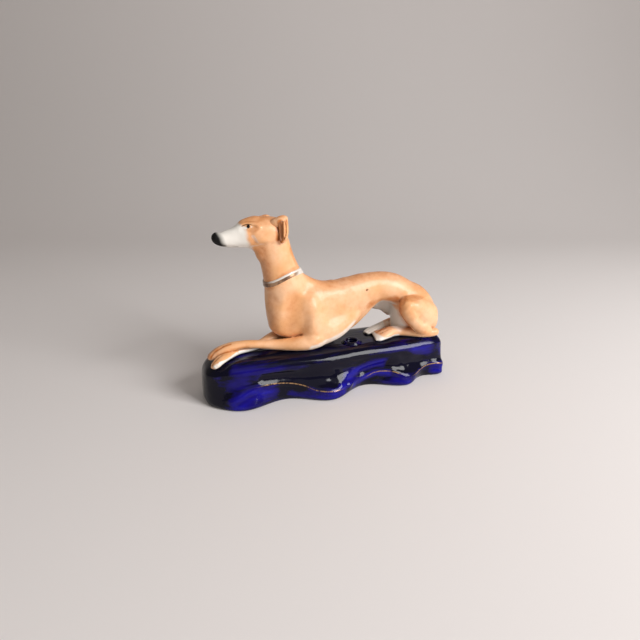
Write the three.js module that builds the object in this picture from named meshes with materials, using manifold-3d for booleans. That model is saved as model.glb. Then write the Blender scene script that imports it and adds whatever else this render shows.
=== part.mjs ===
// Pottery inkwell in the form of a recumbent greyhound on a glazed mound, in millimetres.
// +Z is up and the mound stands on z = 0. The dog looks towards -X, so its left side is towards -Y.
// Every clay piece is pressed or modelled by itself and stuck to its neighbours with slip,
// so neighbouring pieces stay one slip joint apart.
import * as THREE from "three";
import { mergeVertices } from "three/addons/utils/BufferGeometryUtils.js";
import Module from "manifold-3d";

const wasm = await Module();
wasm.setup();

// The mound
const moundLength = 160;
const moundWidth = 47;
const moundTaper = 0.02;
const moundHeight = 28;
const moundWall = 4;
const frontCorner = 3.2;
const rearCorner = 8.5;
const frontDroop = 4.2;
const frontDroopLength = 34;

// The mound's hem swings out in lobes, and lifts a little off the table between them
const hemWave = 5.5;
const hemWaveFade = 0.65;
const hemLift = 3.1;
const nearLobes = [-116, -62, -5, 48, 82, 116];
const farLobes = [-124, -74, -22, 36, 78, 116];

// The floor slab pressed up inside the mound's wall
const floorThickness = 3.5;
const floorVent = 5;

// The cup under the mouth. Its near side follows the mound's wall and clears it where the hem swings in.
const cupWall = 1.6;
const cupFloor = 3;
const cupChamfer = 1.5;
const cupClearance = 6.5;
const cupNear = moundWall + cupClearance - moundWidth / 2;
const cupFar = 2.2;
const cupY = (cupNear + cupFar) / 2;
const cupBore = cupFar - cupNear - 2 * cupWall;

// The mouth that takes the ink and the pen, over the near side of the cup, and its rolled rim
const mouthBore = 6.8;
const mouthInset = 0.2;
const mouthX = 15;
const mouthY = cupNear + cupWall + mouthInset + mouthBore / 2;
const rimRoll = 2.1;
const rimHeight = 1.9;
const rimFoot = 0.4;

// The dog: two pressed halves of one hollow body, with solid limbs stuck on
const bodyWall = 3.4;
const ventBore = 1.7;
const ventX = 24.5;
const ventZ = 34;
const collarHeight = 3.2;
const collarThickness = 0.7;
const rightEarAhead = 7.1;
const rightEarLower = 1.1;
const slipJoint = 0.3;

// How finely the rounded forms are drawn
const ringSides = 20;
const limbSides = 12;
const moundSides = 68;
const turnedSides = 24;

const alongY = new THREE.Vector3(0, 1, 0);
const alongZ = new THREE.Vector3(0, 0, 1);

// The materials: lead-glazed earthenware, over-painted
const fawnGlaze = new THREE.MeshStandardMaterial({ color: 0xd99a62, roughness: 0.22, metalness: 0 });
const whiteGlaze = new THREE.MeshStandardMaterial({ color: 0xe9e2d6, roughness: 0.22, metalness: 0 });
const cobaltGlaze = new THREE.MeshStandardMaterial({ color: 0x10106e, roughness: 0.1, metalness: 0 });
const wornGilt = new THREE.MeshStandardMaterial({ color: 0xa98a68, roughness: 0.4, metalness: 0.6 });
const bareClay = new THREE.MeshStandardMaterial({ color: 0xd8ccb6, roughness: 0.85, metalness: 0 });

// A closed mesh over rings of equally many points, with a flat fan over the first and last ring.
function skin(rings) {
  const sides = rings[0].length;
  const points = rings.flat();
  const faces = [];
  for (let r = 0; r + 1 < rings.length; r++) {
    for (let s = 0; s < sides; s++) {
      const a = r * sides + s;
      const b = r * sides + ((s + 1) % sides);
      faces.push(a, b, b + sides, a, b + sides, a + sides);
    }
  }
  for (const [ring, start, turn] of [[rings[0], 0, 0], [rings.at(-1), (rings.length - 1) * sides, 1]]) {
    const middle = points.length;
    points.push(ring.reduce((sum, p) => sum.add(p), new THREE.Vector3()).divideScalar(sides));
    for (let s = 0; s < sides; s++) {
      const a = start + s;
      const b = start + ((s + 1) % sides);
      faces.push(middle, turn ? a : b, turn ? b : a);
    }
  }
  const geometry = new THREE.BufferGeometry().setFromPoints(points);
  geometry.setIndex(faces);
  return geometry;
}

// A solid for cutting and joining, from any closed geometry.
function solid(geometry, matrix = new THREE.Matrix4()) {
  const bare = geometry.clone().applyMatrix4(matrix);
  bare.deleteAttribute("normal");
  bare.deleteAttribute("uv");
  const merged = mergeVertices(bare, 1e-4);
  const make = (triVerts) =>
    new wasm.Manifold(new wasm.Mesh({ numProp: 3, vertProperties: merged.attributes.position.array, triVerts }));
  const faces = new Uint32Array(merged.index.array);
  const made = make(faces);
  return made.volume() > 0 ? made : make(faces.reverse());
}

function geometryOf(made) {
  const { vertProperties, triVerts } = made.getMesh();
  const geometry = new THREE.BufferGeometry();
  geometry.setAttribute("position", new THREE.BufferAttribute(new Float32Array(vertProperties), 3));
  geometry.setIndex(new THREE.BufferAttribute(new Uint32Array(triVerts), 1));
  geometry.computeVertexNormals();
  return geometry;
}

// An upright round bar for boring holes, centred on x, y, z.
function upright(radius, length, x, y, z) {
  const bar = new THREE.CylinderGeometry(radius, radius, length, turnedSides);
  return solid(bar, new THREE.Matrix4().makeRotationX(Math.PI / 2).setPosition(x, y, z));
}

const join = (...solids) => solids.reduce((all, one) => all.add(one));

// The largest of the separate bodies that a cut has left.
function largest(made) {
  return made.decompose().sort((a, b) => b.volume() - a.volume())[0];
}

function box(x0, x1, y0, y1, z0, z1) {
  const shape = new THREE.BoxGeometry(x1 - x0, y1 - y0, z1 - z0);
  return solid(shape, new THREE.Matrix4().makeTranslation((x0 + x1) / 2, (y0 + y1) / 2, (z0 + z1) / 2));
}

// A modelled form: oval rings along a smooth line. Each station holds the ring's centre x, y, z,
// its half depth in the plane of the bend, its half width, and how much it narrows underneath.
// grow moves the whole skin out, or in where it is negative.
function form(stations, { grow = 0, steps = 2, across = alongY, sides = ringSides } = {}) {
  const centres = new THREE.CatmullRomCurve3(stations.map(([x, y, z]) => new THREE.Vector3(x, y, z)));
  const sizes = new THREE.CatmullRomCurve3(
    stations.map(([, , , depth, width, keel = 0]) => new THREE.Vector3(depth, width, keel)),
  );
  const count = (stations.length - 1) * steps;
  const rings = [];
  for (let i = 0; i <= count; i++) {
    const along = i / count;
    const tangent = centres.getTangent(along);
    const side = across.clone().addScaledVector(tangent, -across.dot(tangent)).normalize();
    const up = new THREE.Vector3().crossVectors(side, tangent).normalize();
    if (up.z < 0 && Math.abs(up.z) > Math.abs(up.x)) up.negate();
    if (Math.abs(up.z) <= Math.abs(up.x) && up.x < 0) up.negate();
    const centre = centres.getPoint(along);
    if (i === 0) centre.addScaledVector(tangent, -grow);
    if (i === count) centre.addScaledVector(tangent, grow);
    const { x: depth, y: width, z: keel } = sizes.getPoint(along);
    const ring = [];
    for (let s = 0; s < sides; s++) {
      const angle = (2 * Math.PI * s) / sides;
      const rise = Math.sin(angle);
      const spread = Math.cos(angle) * (1 + keel * (rise - 1) * 0.5);
      ring.push(
        centre
          .clone()
          .addScaledVector(side, spread * Math.max(width + grow, 0.1))
          .addScaledVector(up, rise * Math.max(depth + grow, 0.1)),
      );
    }
    rings.push(ring);
  }
  return solid(skin(rings));
}

const mirrored = (stations) => stations.map(([x, y, ...rest]) => [x, -y, ...rest]);

// How far out the hem swings at x: 1 on a lobe and -1 midway between two.
function hemSwing(x, lobes) {
  const next = lobes.findIndex((lobe) => lobe > x);
  return Math.cos((2 * Math.PI * (x - lobes[next - 1])) / (lobes[next] - lobes[next - 1]));
}

// Levels of the mound's wall from the top down: height as a share, how far each side and each end
// stands in from the hem, and how much of the hem's wave shows there.
const moundLevels = [
  { share: 1, side: 11, end: 8.6, wave: 0 },
  { share: 0.985, side: 8, end: 5.6, wave: 0 },
  { share: 0.94, side: 5.3, end: 3.3, wave: 0.02 },
  { share: 0.87, side: 3.6, end: 1.8, wave: 0.05 },
  { share: 0.79, side: 2.9, end: 0.8, wave: 0.08 },
  { share: 0.65, side: 3.7, end: 0.2, wave: 0.18 },
  { share: 0.48, side: 3.3, end: 0.1, wave: 0.38 },
  { share: 0.3, side: 2, end: 0, wave: 0.65 },
  { share: 0.14, side: 0.5, end: 0, wave: 0.95 },
  { share: 0.04, side: 0, end: 0, wave: 1, lift: 1 },
  { share: 0, side: 1.4, end: 1.2, wave: 0.95 },
];

// The mound's outline at one level: a long rounded block whose hem waves, and whose front end droops.
function moundRing({ share, side, end, wave, lift = 0 }, grow = 0, z = share * moundHeight) {
  const ring = [];
  for (let s = 0; s < moundSides; s++) {
    const angle = (2 * Math.PI * s) / moundSides;
    const along = Math.cos(angle);
    const corner = along < 0 ? frontCorner : rearCorner;
    const across = Math.sign(Math.sin(angle)) * (1 - Math.abs(along) ** corner) ** (1 / corner);
    const x = (moundLength / 2 - end + grow) * along;
    const halfWidth = moundWidth / 2 - moundTaper * x - side + grow;
    const swing = hemSwing(x, across < 0 ? nearLobes : farLobes);
    const reach = hemWave * wave * (1 - hemWaveFade * ((2 * x) / moundLength) ** 2) * swing;
    const y = (halfWidth + reach) * across;
    const fromFront = Math.min(1, (x + moundLength / 2) / frontDroopLength);
    const droop = (frontDroop * (1 - fromFront) ** 2 * z) / moundHeight;
    ring.push(new THREE.Vector3(x, y, z - droop + (lift * hemLift * (1 - swing)) / 2));
  }
  return ring;
}

// The mound as one solid block, used to fit other pieces to its outside.
function moundBlock(grow) {
  return solid(skin(moundLevels.map((level) => moundRing(level, grow, level.share * moundHeight + grow))));
}

function makeMound() {
  const ceiling = moundHeight - moundWall;
  const inner = ({ side, end, wave }, z) =>
    moundRing({ side: side + moundWall, end: end + moundWall, wave }, 0, z);
  const shoulder = moundLevels[2];
  const walls = moundLevels.filter(({ share }) => share > 0.1 && share < 0.85);
  const inside = [
    inner(moundLevels.at(-2), 0),
    ...walls.reverse().map((level) => inner(level, Math.min(level.share * moundHeight, ceiling - 1))),
    inner(shoulder, ceiling),
  ];
  return solid(skin([...moundLevels.map((level) => moundRing(level)), ...inside])).subtract(
    upright(mouthBore / 2, 3 * moundWall, mouthX, mouthY, moundHeight),
  );
}

// The slab fills the foot of the shell, flush with its rim, with a vent for the kiln.
function makeFloor() {
  const gap = moundWall + slipJoint;
  const at = ({ side, end, wave }, z) => moundRing({ side: side + gap, end: end + gap, wave }, 0, z);
  const foot = moundLevels.at(-2);
  return solid(skin([at({ ...foot, side: foot.side + 0.5 }, floorThickness), at(foot, 0)])).subtract(
    upright(floorVent / 2, 4 * floorThickness, -moundLength / 5, 0, floorThickness),
  );
}

// A closed profile turned about an upright axis.
function turned(profile, x, y, z) {
  const shape = new THREE.LatheGeometry(profile, turnedSides);
  return solid(shape, new THREE.Matrix4().makeRotationX(Math.PI / 2).setPosition(x, y, z));
}

// A rolled clay rim around the mouth, standing on the mound's top.
function makeMouthRim() {
  const inner = mouthBore / 2;
  const outer = inner + rimRoll;
  const foot = moundHeight + slipJoint;
  const profile = [new THREE.Vector2(inner, 0), new THREE.Vector2(outer, 0)];
  for (let i = 0; i <= 6; i++) {
    const angle = (Math.PI * i) / 6;
    const middle = (inner + outer) / 2;
    profile.push(
      new THREE.Vector2(
        middle + (Math.cos(angle) * rimRoll) / 2,
        rimFoot + (rimHeight - rimFoot) * Math.sin(angle),
      ),
    );
  }
  profile.push(profile[0].clone());
  return turned(profile, mouthX, mouthY, foot);
}

// The cup under the mouth stands on the floor slab. It is wider than the mouth, further in under the dog.
function makeInkCup() {
  const low = floorThickness + slipJoint;
  const high = moundHeight - moundWall - slipJoint;
  const bore = cupBore / 2;
  const outer = bore + cupWall;
  const profile = [
    new THREE.Vector2(0, low),
    new THREE.Vector2(outer - cupChamfer, low),
    new THREE.Vector2(outer, low + cupChamfer),
    new THREE.Vector2(outer, high),
    new THREE.Vector2(bore, high),
    new THREE.Vector2(bore, low + cupFloor + cupChamfer),
    new THREE.Vector2(bore - cupChamfer, low + cupFloor),
    new THREE.Vector2(0, low + cupFloor),
  ];
  return turned(profile, mouthX, cupY, 0);
}

// The dog's forms, measured from the mound's top: x, y, z, half depth, half width, keel.
const trunk = [
  [-38.3, 0, 24, 4, 3, 0],
  [-36.6, 0, 24, 10, 7.2, 0],
  [-32, 0, 23.6, 14.6, 10.6, 0.1],
  [-24, 0, 22.8, 18, 12.9, 0.25],
  [-12, 0, 21.6, 19.8, 14, 0.45],
  [0, 0, 20.8, 19.4, 14, 0.6],
  [10, 0, 22.6, 18.4, 13.2, 0.6],
  [19, 0, 26.6, 15.8, 12, 0.5],
  [27, 0, 30.4, 12.8, 10.6, 0.35],
  [36, 0, 32.7, 10.1, 9.4, 0.15],
  [46, 0, 31.2, 9.8, 9.8, 0],
  [54.5, 0, 26.6, 9.7, 11.2, 0],
  [61.6, 0, 21, 11.7, 14, 0],
  [65.3, 0, 14, 12.6, 15, 0],
  [66.2, 0, 6, 11.8, 15, 0],
  [66.8, 0, -2, 10.8, 14, 0],
];
const neck = [
  [-22, 0, 24, 11, 9.5],
  [-24.6, 0, 34, 13.2, 10.8],
  [-27, 0, 43, 12.4, 10],
  [-29.3, 0, 51, 11.1, 8.7],
  [-31.6, 0, 58.6, 10.3, 7.8],
  [-33.1, 0, 65, 10.1, 7.6],
  [-34.2, 0, 71, 9, 7.4],
];
const head = [
  [-24.2, 0, 71.4, 3.4, 3],
  [-26.4, 0, 71.6, 6.4, 6.2],
  [-31, 0, 72.2, 8.4, 8.8],
  [-37.5, 0, 72.5, 9, 9.3],
  [-44, 0, 72.3, 8.6, 8.7],
  [-49, 0, 71.6, 7.7, 7.4],
  [-53.5, 0, 70.7, 6.4, 5.6],
  [-58.5, 0, 69.9, 5.1, 4.5],
  [-63.2, 0, 69.4, 3.9, 3.8],
  [-66.3, 0, 69.6, 3, 3.2],
  [-67.6, 0, 69.8, 1.6, 1.9],
];
// Where the neck runs out into the back and the chest
const withers = [
  [-21, 0, 43.4, 4.4, 5],
  [-15.5, 0, 41.6, 4.6, 6],
  [-10, 0, 38.2, 4.6, 6.6],
  [-3, 0, 35.4, 4.8, 7],
  [6, 0, 33, 4, 5],
];
const breast = [
  [-30.8, 0, 42, 8, 6],
  [-32, 0, 33, 7.4, 7],
  [-31.8, 0, 25, 7, 7],
];
const shoulder = [
  [-15, -4, 36, 5, 4],
  [-12.6, -6.6, 28, 7.4, 6.6],
  [-10.6, -7.8, 18, 8.6, 6.8],
  [-10.6, -8.4, 9, 8.4, 5.8],
];
const ribs = [
  [-10, -8.8, 8.2, 7.4, 6],
  [-3, -8.6, 9, 8.2, 6],
  [5, -7.4, 11.6, 8.2, 5.8],
  [13, -5.6, 16.4, 7.4, 5],
  [20, -4, 22, 4.6, 3],
];
// The clay left between the haunches, and the web from the far flank to the far knee
const haunchWeb = [
  [55, 0, 29, 5, 6],
  [55.6, 0, 22, 7.4, 8],
  [56, 0, 12, 8.4, 9],
  [56.6, 0, 3, 9, 9],
  [57, 0, -3, 9, 9],
];
const farFlank = [
  [30, 6, 25.6, 4.4, 4],
  [38, 9, 21, 6, 5],
  [46, 10.5, 19, 6.8, 5],
  [54, 11, 14.6, 8, 5.6],
];
// The left foreleg lies across the right one, which comes out under it on the near side.
const leftForeleg = [
  [-4, -8.6, 7, 2.4, 2],
  [-7, -10.4, 6, 5, 4.2],
  [-13, -10.8, 5.2, 5.2, 4.8],
  [-22, -9.6, 4.4, 4.4, 4.2],
  [-33, -6.6, 4.2, 3.4, 3.4],
  [-45, -4.8, 5.4, 2.6, 2.9],
  [-54, -3.6, 6, 2.5, 3],
  [-62, -2.8, 5, 2.9, 3.8],
  [-69, -2.4, 2.8, 2.9, 4.2],
  [-73.8, -2.4, 0.2, 2.2, 3.4],
  [-75.4, -2.4, -1, 1.1, 1.8],
];
const rightForeleg = [
  [-4, 8.8, 8, 2.4, 2],
  [-7, 9.4, 7.6, 5, 4],
  [-13, 9.2, 6.8, 5.2, 4.2],
  [-23, 7.6, 6, 4.1, 3.8],
  [-34, 5, 5.2, 3.1, 3.2],
  [-43.5, 1.2, 2.6, 2.4, 3.4],
  [-51, -0.6, 1.8, 1.9, 3.1],
  [-57.6, -2.2, 1.6, 2, 3],
  [-64, -6, 1.5, 2.4, 3.7],
  [-69.2, -9.8, 0.6, 2.4, 3.9],
  [-72.4, -12.6, -0.8, 2.1, 3.6],
  [-74.2, -14.2, -1.8, 1.2, 2.4],
];
const thigh = [
  [72.6, -8, 5, 5, 5],
  [69.2, -9.4, 9, 8.2, 7.2],
  [65, -10.6, 14, 10.2, 8.4],
  [58.8, -11.8, 18.9, 8.4, 7.6],
  [52.6, -13.2, 22.2, 6.3, 6.2],
  [48.2, -13.8, 24.6, 4, 4],
];
const shank = [
  [47.4, -13.8, 25, 2.8, 3],
  [50.2, -14, 22.4, 6, 5.4],
  [53.2, -14.4, 17, 5.8, 5.2],
  [58, -15, 10.8, 5.4, 4.9],
  [62.8, -15.6, 6, 4.8, 4.2],
  [67.4, -16.2, 3.4, 2.8, 2.8],
];
const hindFoot = [
  [73.4, -16.2, 3.2, 1.4, 1.6],
  [71.8, -16.6, 3, 2.7, 2.7],
  [67.6, -16.8, 2.7, 2.7, 2.8],
  [62, -14.8, 2.3, 2.6, 2.8],
  [56, -11.2, 2.4, 2.6, 2.8],
  [50, -8.2, 2.9, 3, 3.2],
  [44, -7.6, 3.4, 3.6, 4],
  [38.4, -8.2, 2.5, 3, 5.6],
  [34.4, -8, 1.4, 2.2, 6.3],
  [32.2, -7.6, 0.8, 1.3, 5],
];
const farHindFoot = [
  [73.4, 16.2, 3.2, 1.4, 1.6],
  [71.8, 16.6, 3, 2.7, 2.7],
  [67.6, 16.2, 2.8, 2.7, 2.8],
  [61, 13.2, 2.8, 2.8, 2.9],
  [53, 9, 3.6, 3.2, 3],
  [46, 5.8, 3.4, 3, 3.2],
  [39, 4.2, 2.8, 2.8, 3.8],
  [34, 3.2, 2, 2.4, 4],
  [30.6, 2.6, 1, 1.7, 3.4],
  [29, 2.4, 0.4, 0.9, 2.2],
];
const ear = [
  [-30.8, -6.6, 82.4, 1.6, 1],
  [-30.2, -7.8, 80.6, 4.2, 2],
  [-29.9, -8.8, 77, 3.9, 2.4],
  [-29.8, -9.2, 72.6, 3.2, 2.3],
  [-30, -9.2, 69, 2.8, 2],
  [-30.2, -8.9, 66.8, 2.1, 1.6],
  [-30.5, -8.6, 65.2, 1, 0.9],
];
// Where the ear grows out of the skull
const earRoot = [
  [-35.4, -4, 79.8, 0.8, 0.8],
  [-33.8, -5.4, 80.6, 1.5, 1.6],
  [-31.4, -7, 80.8, 2, 2],
  [-29, -8, 80, 1.6, 1.6],
];
// The tail lies along the far side of the mound, round the right haunch.
const tail = [
  [72, 3, 9, 2.4, 2.4],
  [75.6, 6, 6, 2.3, 2.3],
  [76.4, 12, 2.9, 2.1, 2.1],
  [72.4, 17.8, 1.8, 1.9, 1.9],
  [64.5, 19.6, 1.6, 1.7, 1.7],
  [57, 18.8, 1.2, 1.2, 1.2],
];
const collarFront = new THREE.Vector3(-39.2, 0, 42);
const collarBack = new THREE.Vector3(-14, 0, 47.4);

const paired = [shoulder, ribs];
const bodyForms = [trunk, neck, head, withers, breast, ...paired, ...paired.map(mirrored), haunchWeb, farFlank];
const bodyForm = (grow) => join(...bodyForms.map((stations) => form(stations, { grow })));

// One pressed half of the hollow body: side is -1 for the left half and 1 for the right.
function makeBodyHalf(side) {
  const far = 2 * moundLength;
  const half = box(-far, far, side < 0 ? -far : 0, side < 0 ? 0 : far, 0, far);
  const hollow = join(
    form(trunk.slice(1, -1), { grow: -bodyWall }),
    form(neck.slice(0, -1), { grow: -bodyWall }),
    form(head.slice(2, -4), { grow: -bodyWall }),
  );
  const made = bodyForm(0).intersect(half).subtract(hollow);
  if (side > 0) return made;
  const vent = new THREE.CylinderGeometry(ventBore / 2, ventBore / 2, moundWidth, limbSides);
  return made.subtract(solid(vent, new THREE.Matrix4().makeTranslation(ventX, -moundWidth / 2, ventZ)));
}

// A limb is trimmed to the body that it is stuck to and to the mound that it lies on.
const bodySkin = bodyForm(slipJoint);
const moundSkin = moundBlock(slipJoint).translate([0, 0, -moundHeight - slipJoint]);

function fitted(limb, ...others) {
  return largest([bodySkin, moundSkin, ...others].reduce((left, other) => left.subtract(other), limb));
}

const limb = (stations, grow = 0) => form(stations, { sides: limbSides, grow });
const makeRightForeleg = () => fitted(limb(rightForeleg));
const makeLeftForeleg = () => fitted(limb(leftForeleg), limb(rightForeleg, slipJoint));

// The hind legs are alike but for their feet, which lie close together.
const leftHindLeg = (grow = 0) => join(limb(thigh, grow), limb(shank, grow), limb(hindFoot, grow));
const rightHindLeg = (grow = 0) =>
  join(limb(mirrored(thigh), grow), limb(mirrored(shank), grow), limb(farHindFoot, grow));

const makeTail = () => fitted(form(tail, { sides: limbSides, across: alongZ }), rightHindLeg(slipJoint));

// The left ear is as listed. The right one sits a little further forward and lower.
const farEarPlace = (stations) =>
  mirrored(stations).map(([x, y, z, ...size]) => [x - rightEarAhead, y, z - rightEarLower, ...size]);
const nearEarPlace = (stations) => stations;
const makeEar = (earPlace) => fitted(join(limb(earPlace(ear)), limb(earPlace(earRoot))));

function makeCollar() {
  const middle = collarFront.clone().add(collarBack).multiplyScalar(0.5);
  const slope = Math.atan2(collarBack.z - collarFront.z, collarBack.x - collarFront.x);
  const band = new THREE.BoxGeometry(moundLength, moundLength, collarHeight);
  const place = new THREE.Matrix4().makeRotationAxis(alongY, -slope).setPosition(middle);
  const around = bodyForm(slipJoint + collarThickness);
  return largest(around.intersect(solid(band, place)).subtract(bodySkin));
}

const inkwell = new THREE.Group();
const dog = new THREE.Group();
dog.position.z = moundHeight + slipJoint;
inkwell.add(dog);

function place(parent, name, material, made) {
  const mesh = new THREE.Mesh(geometryOf(made), material);
  mesh.name = name;
  parent.add(mesh);
}

place(inkwell, "mound_shell", cobaltGlaze, makeMound());
place(inkwell, "mound_floor", bareClay, makeFloor());
place(inkwell, "mouth_rim", cobaltGlaze, makeMouthRim());
place(inkwell, "ink_cup", whiteGlaze, makeInkCup());
place(dog, "body_left_half", fawnGlaze, makeBodyHalf(-1));
place(dog, "body_right_half", fawnGlaze, makeBodyHalf(1));
place(dog, "left_foreleg", fawnGlaze, makeLeftForeleg());
place(dog, "right_foreleg", fawnGlaze, makeRightForeleg());
place(dog, "left_hind_leg", fawnGlaze, fitted(leftHindLeg()));
place(dog, "right_hind_leg", fawnGlaze, fitted(rightHindLeg(), leftHindLeg(slipJoint)));
place(dog, "left_ear", fawnGlaze, makeEar(nearEarPlace));
place(dog, "right_ear", fawnGlaze, makeEar(farEarPlace));
place(dog, "tail", fawnGlaze, makeTail());
place(dog, "collar", wornGilt, makeCollar());

export default inkwell;
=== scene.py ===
"""A pottery greyhound inkwell, modelled and glazed around its measured frame.

The dog is modelled as one lump of clay, smoothed, and cut into the pieces that it is pressed from.
Everything is in metres, +Z up. The dog looks towards -X, and its left side is towards -Y.
"""

import math

import bmesh
import bpy
import numpy as np
from bpy.props import FloatProperty, FloatVectorProperty, PointerProperty
from mathutils import Color, Matrix, Vector


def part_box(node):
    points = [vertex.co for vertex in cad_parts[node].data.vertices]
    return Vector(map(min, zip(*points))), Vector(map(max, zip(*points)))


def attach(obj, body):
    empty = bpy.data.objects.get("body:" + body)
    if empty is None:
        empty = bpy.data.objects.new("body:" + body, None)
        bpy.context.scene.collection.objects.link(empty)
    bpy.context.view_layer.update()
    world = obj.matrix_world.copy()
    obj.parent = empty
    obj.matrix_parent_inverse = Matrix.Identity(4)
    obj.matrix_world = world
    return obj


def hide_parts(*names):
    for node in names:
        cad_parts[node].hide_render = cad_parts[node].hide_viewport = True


bl_info = {
    "name": "Greyhound Inkwell",
    "version": (1, 0, 0),
    "blender": (4, 5, 0),
    "location": "3D View > Sidebar > Inkwell",
    "description": "Models and glazes a pottery greyhound inkwell",
    "category": "Add Mesh",
}

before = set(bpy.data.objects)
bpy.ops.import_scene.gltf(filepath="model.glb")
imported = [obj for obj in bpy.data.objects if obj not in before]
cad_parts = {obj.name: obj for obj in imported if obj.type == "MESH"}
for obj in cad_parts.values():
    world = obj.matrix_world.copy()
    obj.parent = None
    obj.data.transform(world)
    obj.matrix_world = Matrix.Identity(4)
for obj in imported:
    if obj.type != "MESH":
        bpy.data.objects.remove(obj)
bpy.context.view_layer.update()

MM = 0.001
SLIP = 0.3 * MM
rim_low, rim_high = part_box("mouth_rim")
shell_low, shell_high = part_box("mound_shell")
MOUTH = (rim_low + rim_high) / 2
MOUND_TOP = rim_low.z - SLIP
DOG_FOOT = MOUND_TOP + SLIP
# How far the mouth's rim goes down into the mound, and how much its foot spreads
RIM_SEAT = 0.6 * MM
RIM_SKIRT = 2.2
# The heights at which the ink's stain in the cup ends and is whole
INK_TIDE = (14 * MM, 10 * MM)
# The stage, in metres and degrees, with the camera's lens and sensor in mm. The camera stands where the
# photograph was taken from.
CAMERA_AZIMUTH = -19.4
CAMERA_ELEVATION = 20
CAMERA_DISTANCE = 0.3
CAMERA_LENS = 27
CAMERA_SENSOR = 36
CAMERA_TARGET = Vector((-0.0058, -0.0058, 0.045))
PAPER_LENGTH = 5
PAPER_BEND = 0.5
PAPER_RADIUS = 0.7
ROOM_LIGHT = 0.24
ROOM_COLOUR = (1, 0.94, 0.87, 1)
LAMP_TARGET = Vector((0, 0, 0.04))
# Each lamp's name, power in watts, width, height and place
LAMPS = [
    ("window", 12.6, 0.5, 0.65, (0.56, -0.75, 0.54)),
    ("fill", 1.2, 1, 1, (-0.2, -0.9, 1)),
]


# The sockets of the Mix node that mix colours
MIX_FACTOR, MIX_FIRST, MIX_SECOND, MIX_RESULT = 0, 6, 7, 2


def linear(colour):
    """An sRGB hex colour as the linear values that shaders use."""
    channels = [int(colour[i : i + 2], 16) / 255 for i in (1, 3, 5)]
    return [c / 12.92 if c <= 0.04045 else ((c + 0.055) / 1.055) ** 2.4 for c in channels]


def length(name, description, default, **limits):
    return FloatProperty(name=name, description=description, default=default, unit="LENGTH", **limits)


def colour(name, description, default):
    return FloatVectorProperty(
        name=name, description=description, default=linear(default), subtype="COLOR", min=0, max=1
    )


class FigureSizes(bpy.types.PropertyGroup):
    mound_length: length("Mound length", "Length of the mound", shell_high.x - shell_low.x)
    mound_width: length("Mound width", "Width of the mound between the swings of its hem", 47 * MM)
    mound_height: length("Mound height", "Height of the mound's flat top", MOUND_TOP)
    mound_wall: length("Mound wall", "Thickness of the mound's clay", 4 * MM)
    hem_wave: length("Hem wave", "How far the mound's hem swings out and in", 5.5 * MM)
    hem_lift: length("Hem lift", "How far the hem lifts off the table between its lobes", 3.1 * MM)
    front_droop: length("Front droop", "How far the mound's top falls at its front end", 4.2 * MM)
    mouth_bore: length("Mouth bore", "Bore of the mouth that takes the pen", 6.8 * MM)
    rim_roll: length("Rim roll", "Thickness of the mouth's rolled rim", 2.1 * MM)
    rim_height: length("Rim height", "How far the rim stands above the mound", 1.2 * MM)
    clay_grain: length("Clay grain", "Spacing of the points on the dog's surface", 0.42 * MM)
    mound_grain: length("Mound grain", "Spacing of the points on the mound's surface", 0.7 * MM)
    ear_grain: length("Ear grain", "Spacing of the points on the ears", 0.26 * MM)
    vent_bore: length("Vent bore", "Bore of the pin-sized kiln vent in the dog's side", 1.7 * MM)


class GlazeColours(bpy.types.PropertyGroup):
    fawn: colour("Fawn", "Fawn enamel", "#e8aa74")
    fawn_thin: colour("Thin fawn", "Fawn enamel where it is thin", "#f2c096")
    # This darker fawn is also the colour of the painted shade that some brush strokes lay.
    fawn_deep_and_shade: colour("Deep fawn", "Fawn enamel where the brush left more of it", "#c4702e")
    fawn_pooled: colour("Pooled fawn", "Fawn enamel where it has gathered in creases", "#98521f")
    cream: colour("Cream", "Clay that shows white under the clear glaze", "#efe9e0")
    enamel_black: colour("Black enamel", "The eyes, nose and mouth", "#0d0b0b")
    # This darkest cobalt is also the colour of the painted shade in the mound's coves and at its front end.
    cobalt_deep: colour("Deep cobalt", "Cobalt glaze where it has pooled", "#040318")
    cobalt: colour("Cobalt", "Cobalt glaze", "#110760")
    # This bright cobalt is also the colour of the painted light on the mound's folds.
    cobalt_thin: colour("Thin cobalt", "Cobalt glaze where it has run thin", "#140e88")
    gilt: colour("Gilt", "What is left of the collar's gilding", "#a98463")
    gilt_dark: colour("Dark gilt", "Gilding that has dulled", "#6d4c38")
    gilt_line: colour("Gilt line", "The gilt line on the mound", "#b08a62")
    grime: colour("Grime", "Dust rubbed into the bare clay", "#9a8870")
    bare_clay: colour("Bare clay", "Unglazed clay under the mound", "#d8ccb6")
    floor: colour("Floor", "The paper floor and backdrop", "#ebe5e3")


# The dog's forms in mm from the mound's top: x, y, z, half depth, half width, and a keel if it has one.
TRUNK = [
    (-38.3, 0, 24, 4, 3),
    (-36.6, 0, 24, 10, 7.2),
    (-32, 0, 23.6, 14.6, 10.6, 0.1),
    (-24, 0, 22.8, 18, 12.9, 0.25),
    (-12, 0, 21.6, 19.8, 14, 0.45),
    (0, 0, 20.8, 19.4, 14, 0.6),
    (10, 0, 22.6, 18.4, 13.2, 0.6),
    (19, 0, 26.6, 15.8, 12, 0.5),
    (27, 0, 30.4, 12.8, 10.6, 0.35),
    (36, 0, 32.7, 10.1, 9.4, 0.15),
    (46, 0, 31.2, 9.8, 9.8),
    (54.5, 0, 26.6, 9.7, 11.2),
    (61.6, 0, 21, 11.7, 14),
    (65.3, 0, 14, 12.6, 15),
    (66.2, 0, 6, 11.8, 15),
    (66.8, 0, -2, 10.8, 14),
]
NECK = [
    (-22, 0, 24, 11, 9.5),
    (-24.6, 0, 34, 13.2, 10.8),
    (-27, 0, 43, 12.4, 10),
    (-29.3, 0, 51, 11.1, 8.7),
    (-31.6, 0, 58.6, 10.3, 7.8),
    (-33.1, 0, 65, 10.1, 7.6),
    (-34.2, 0, 71, 9, 7.4),
]
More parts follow.
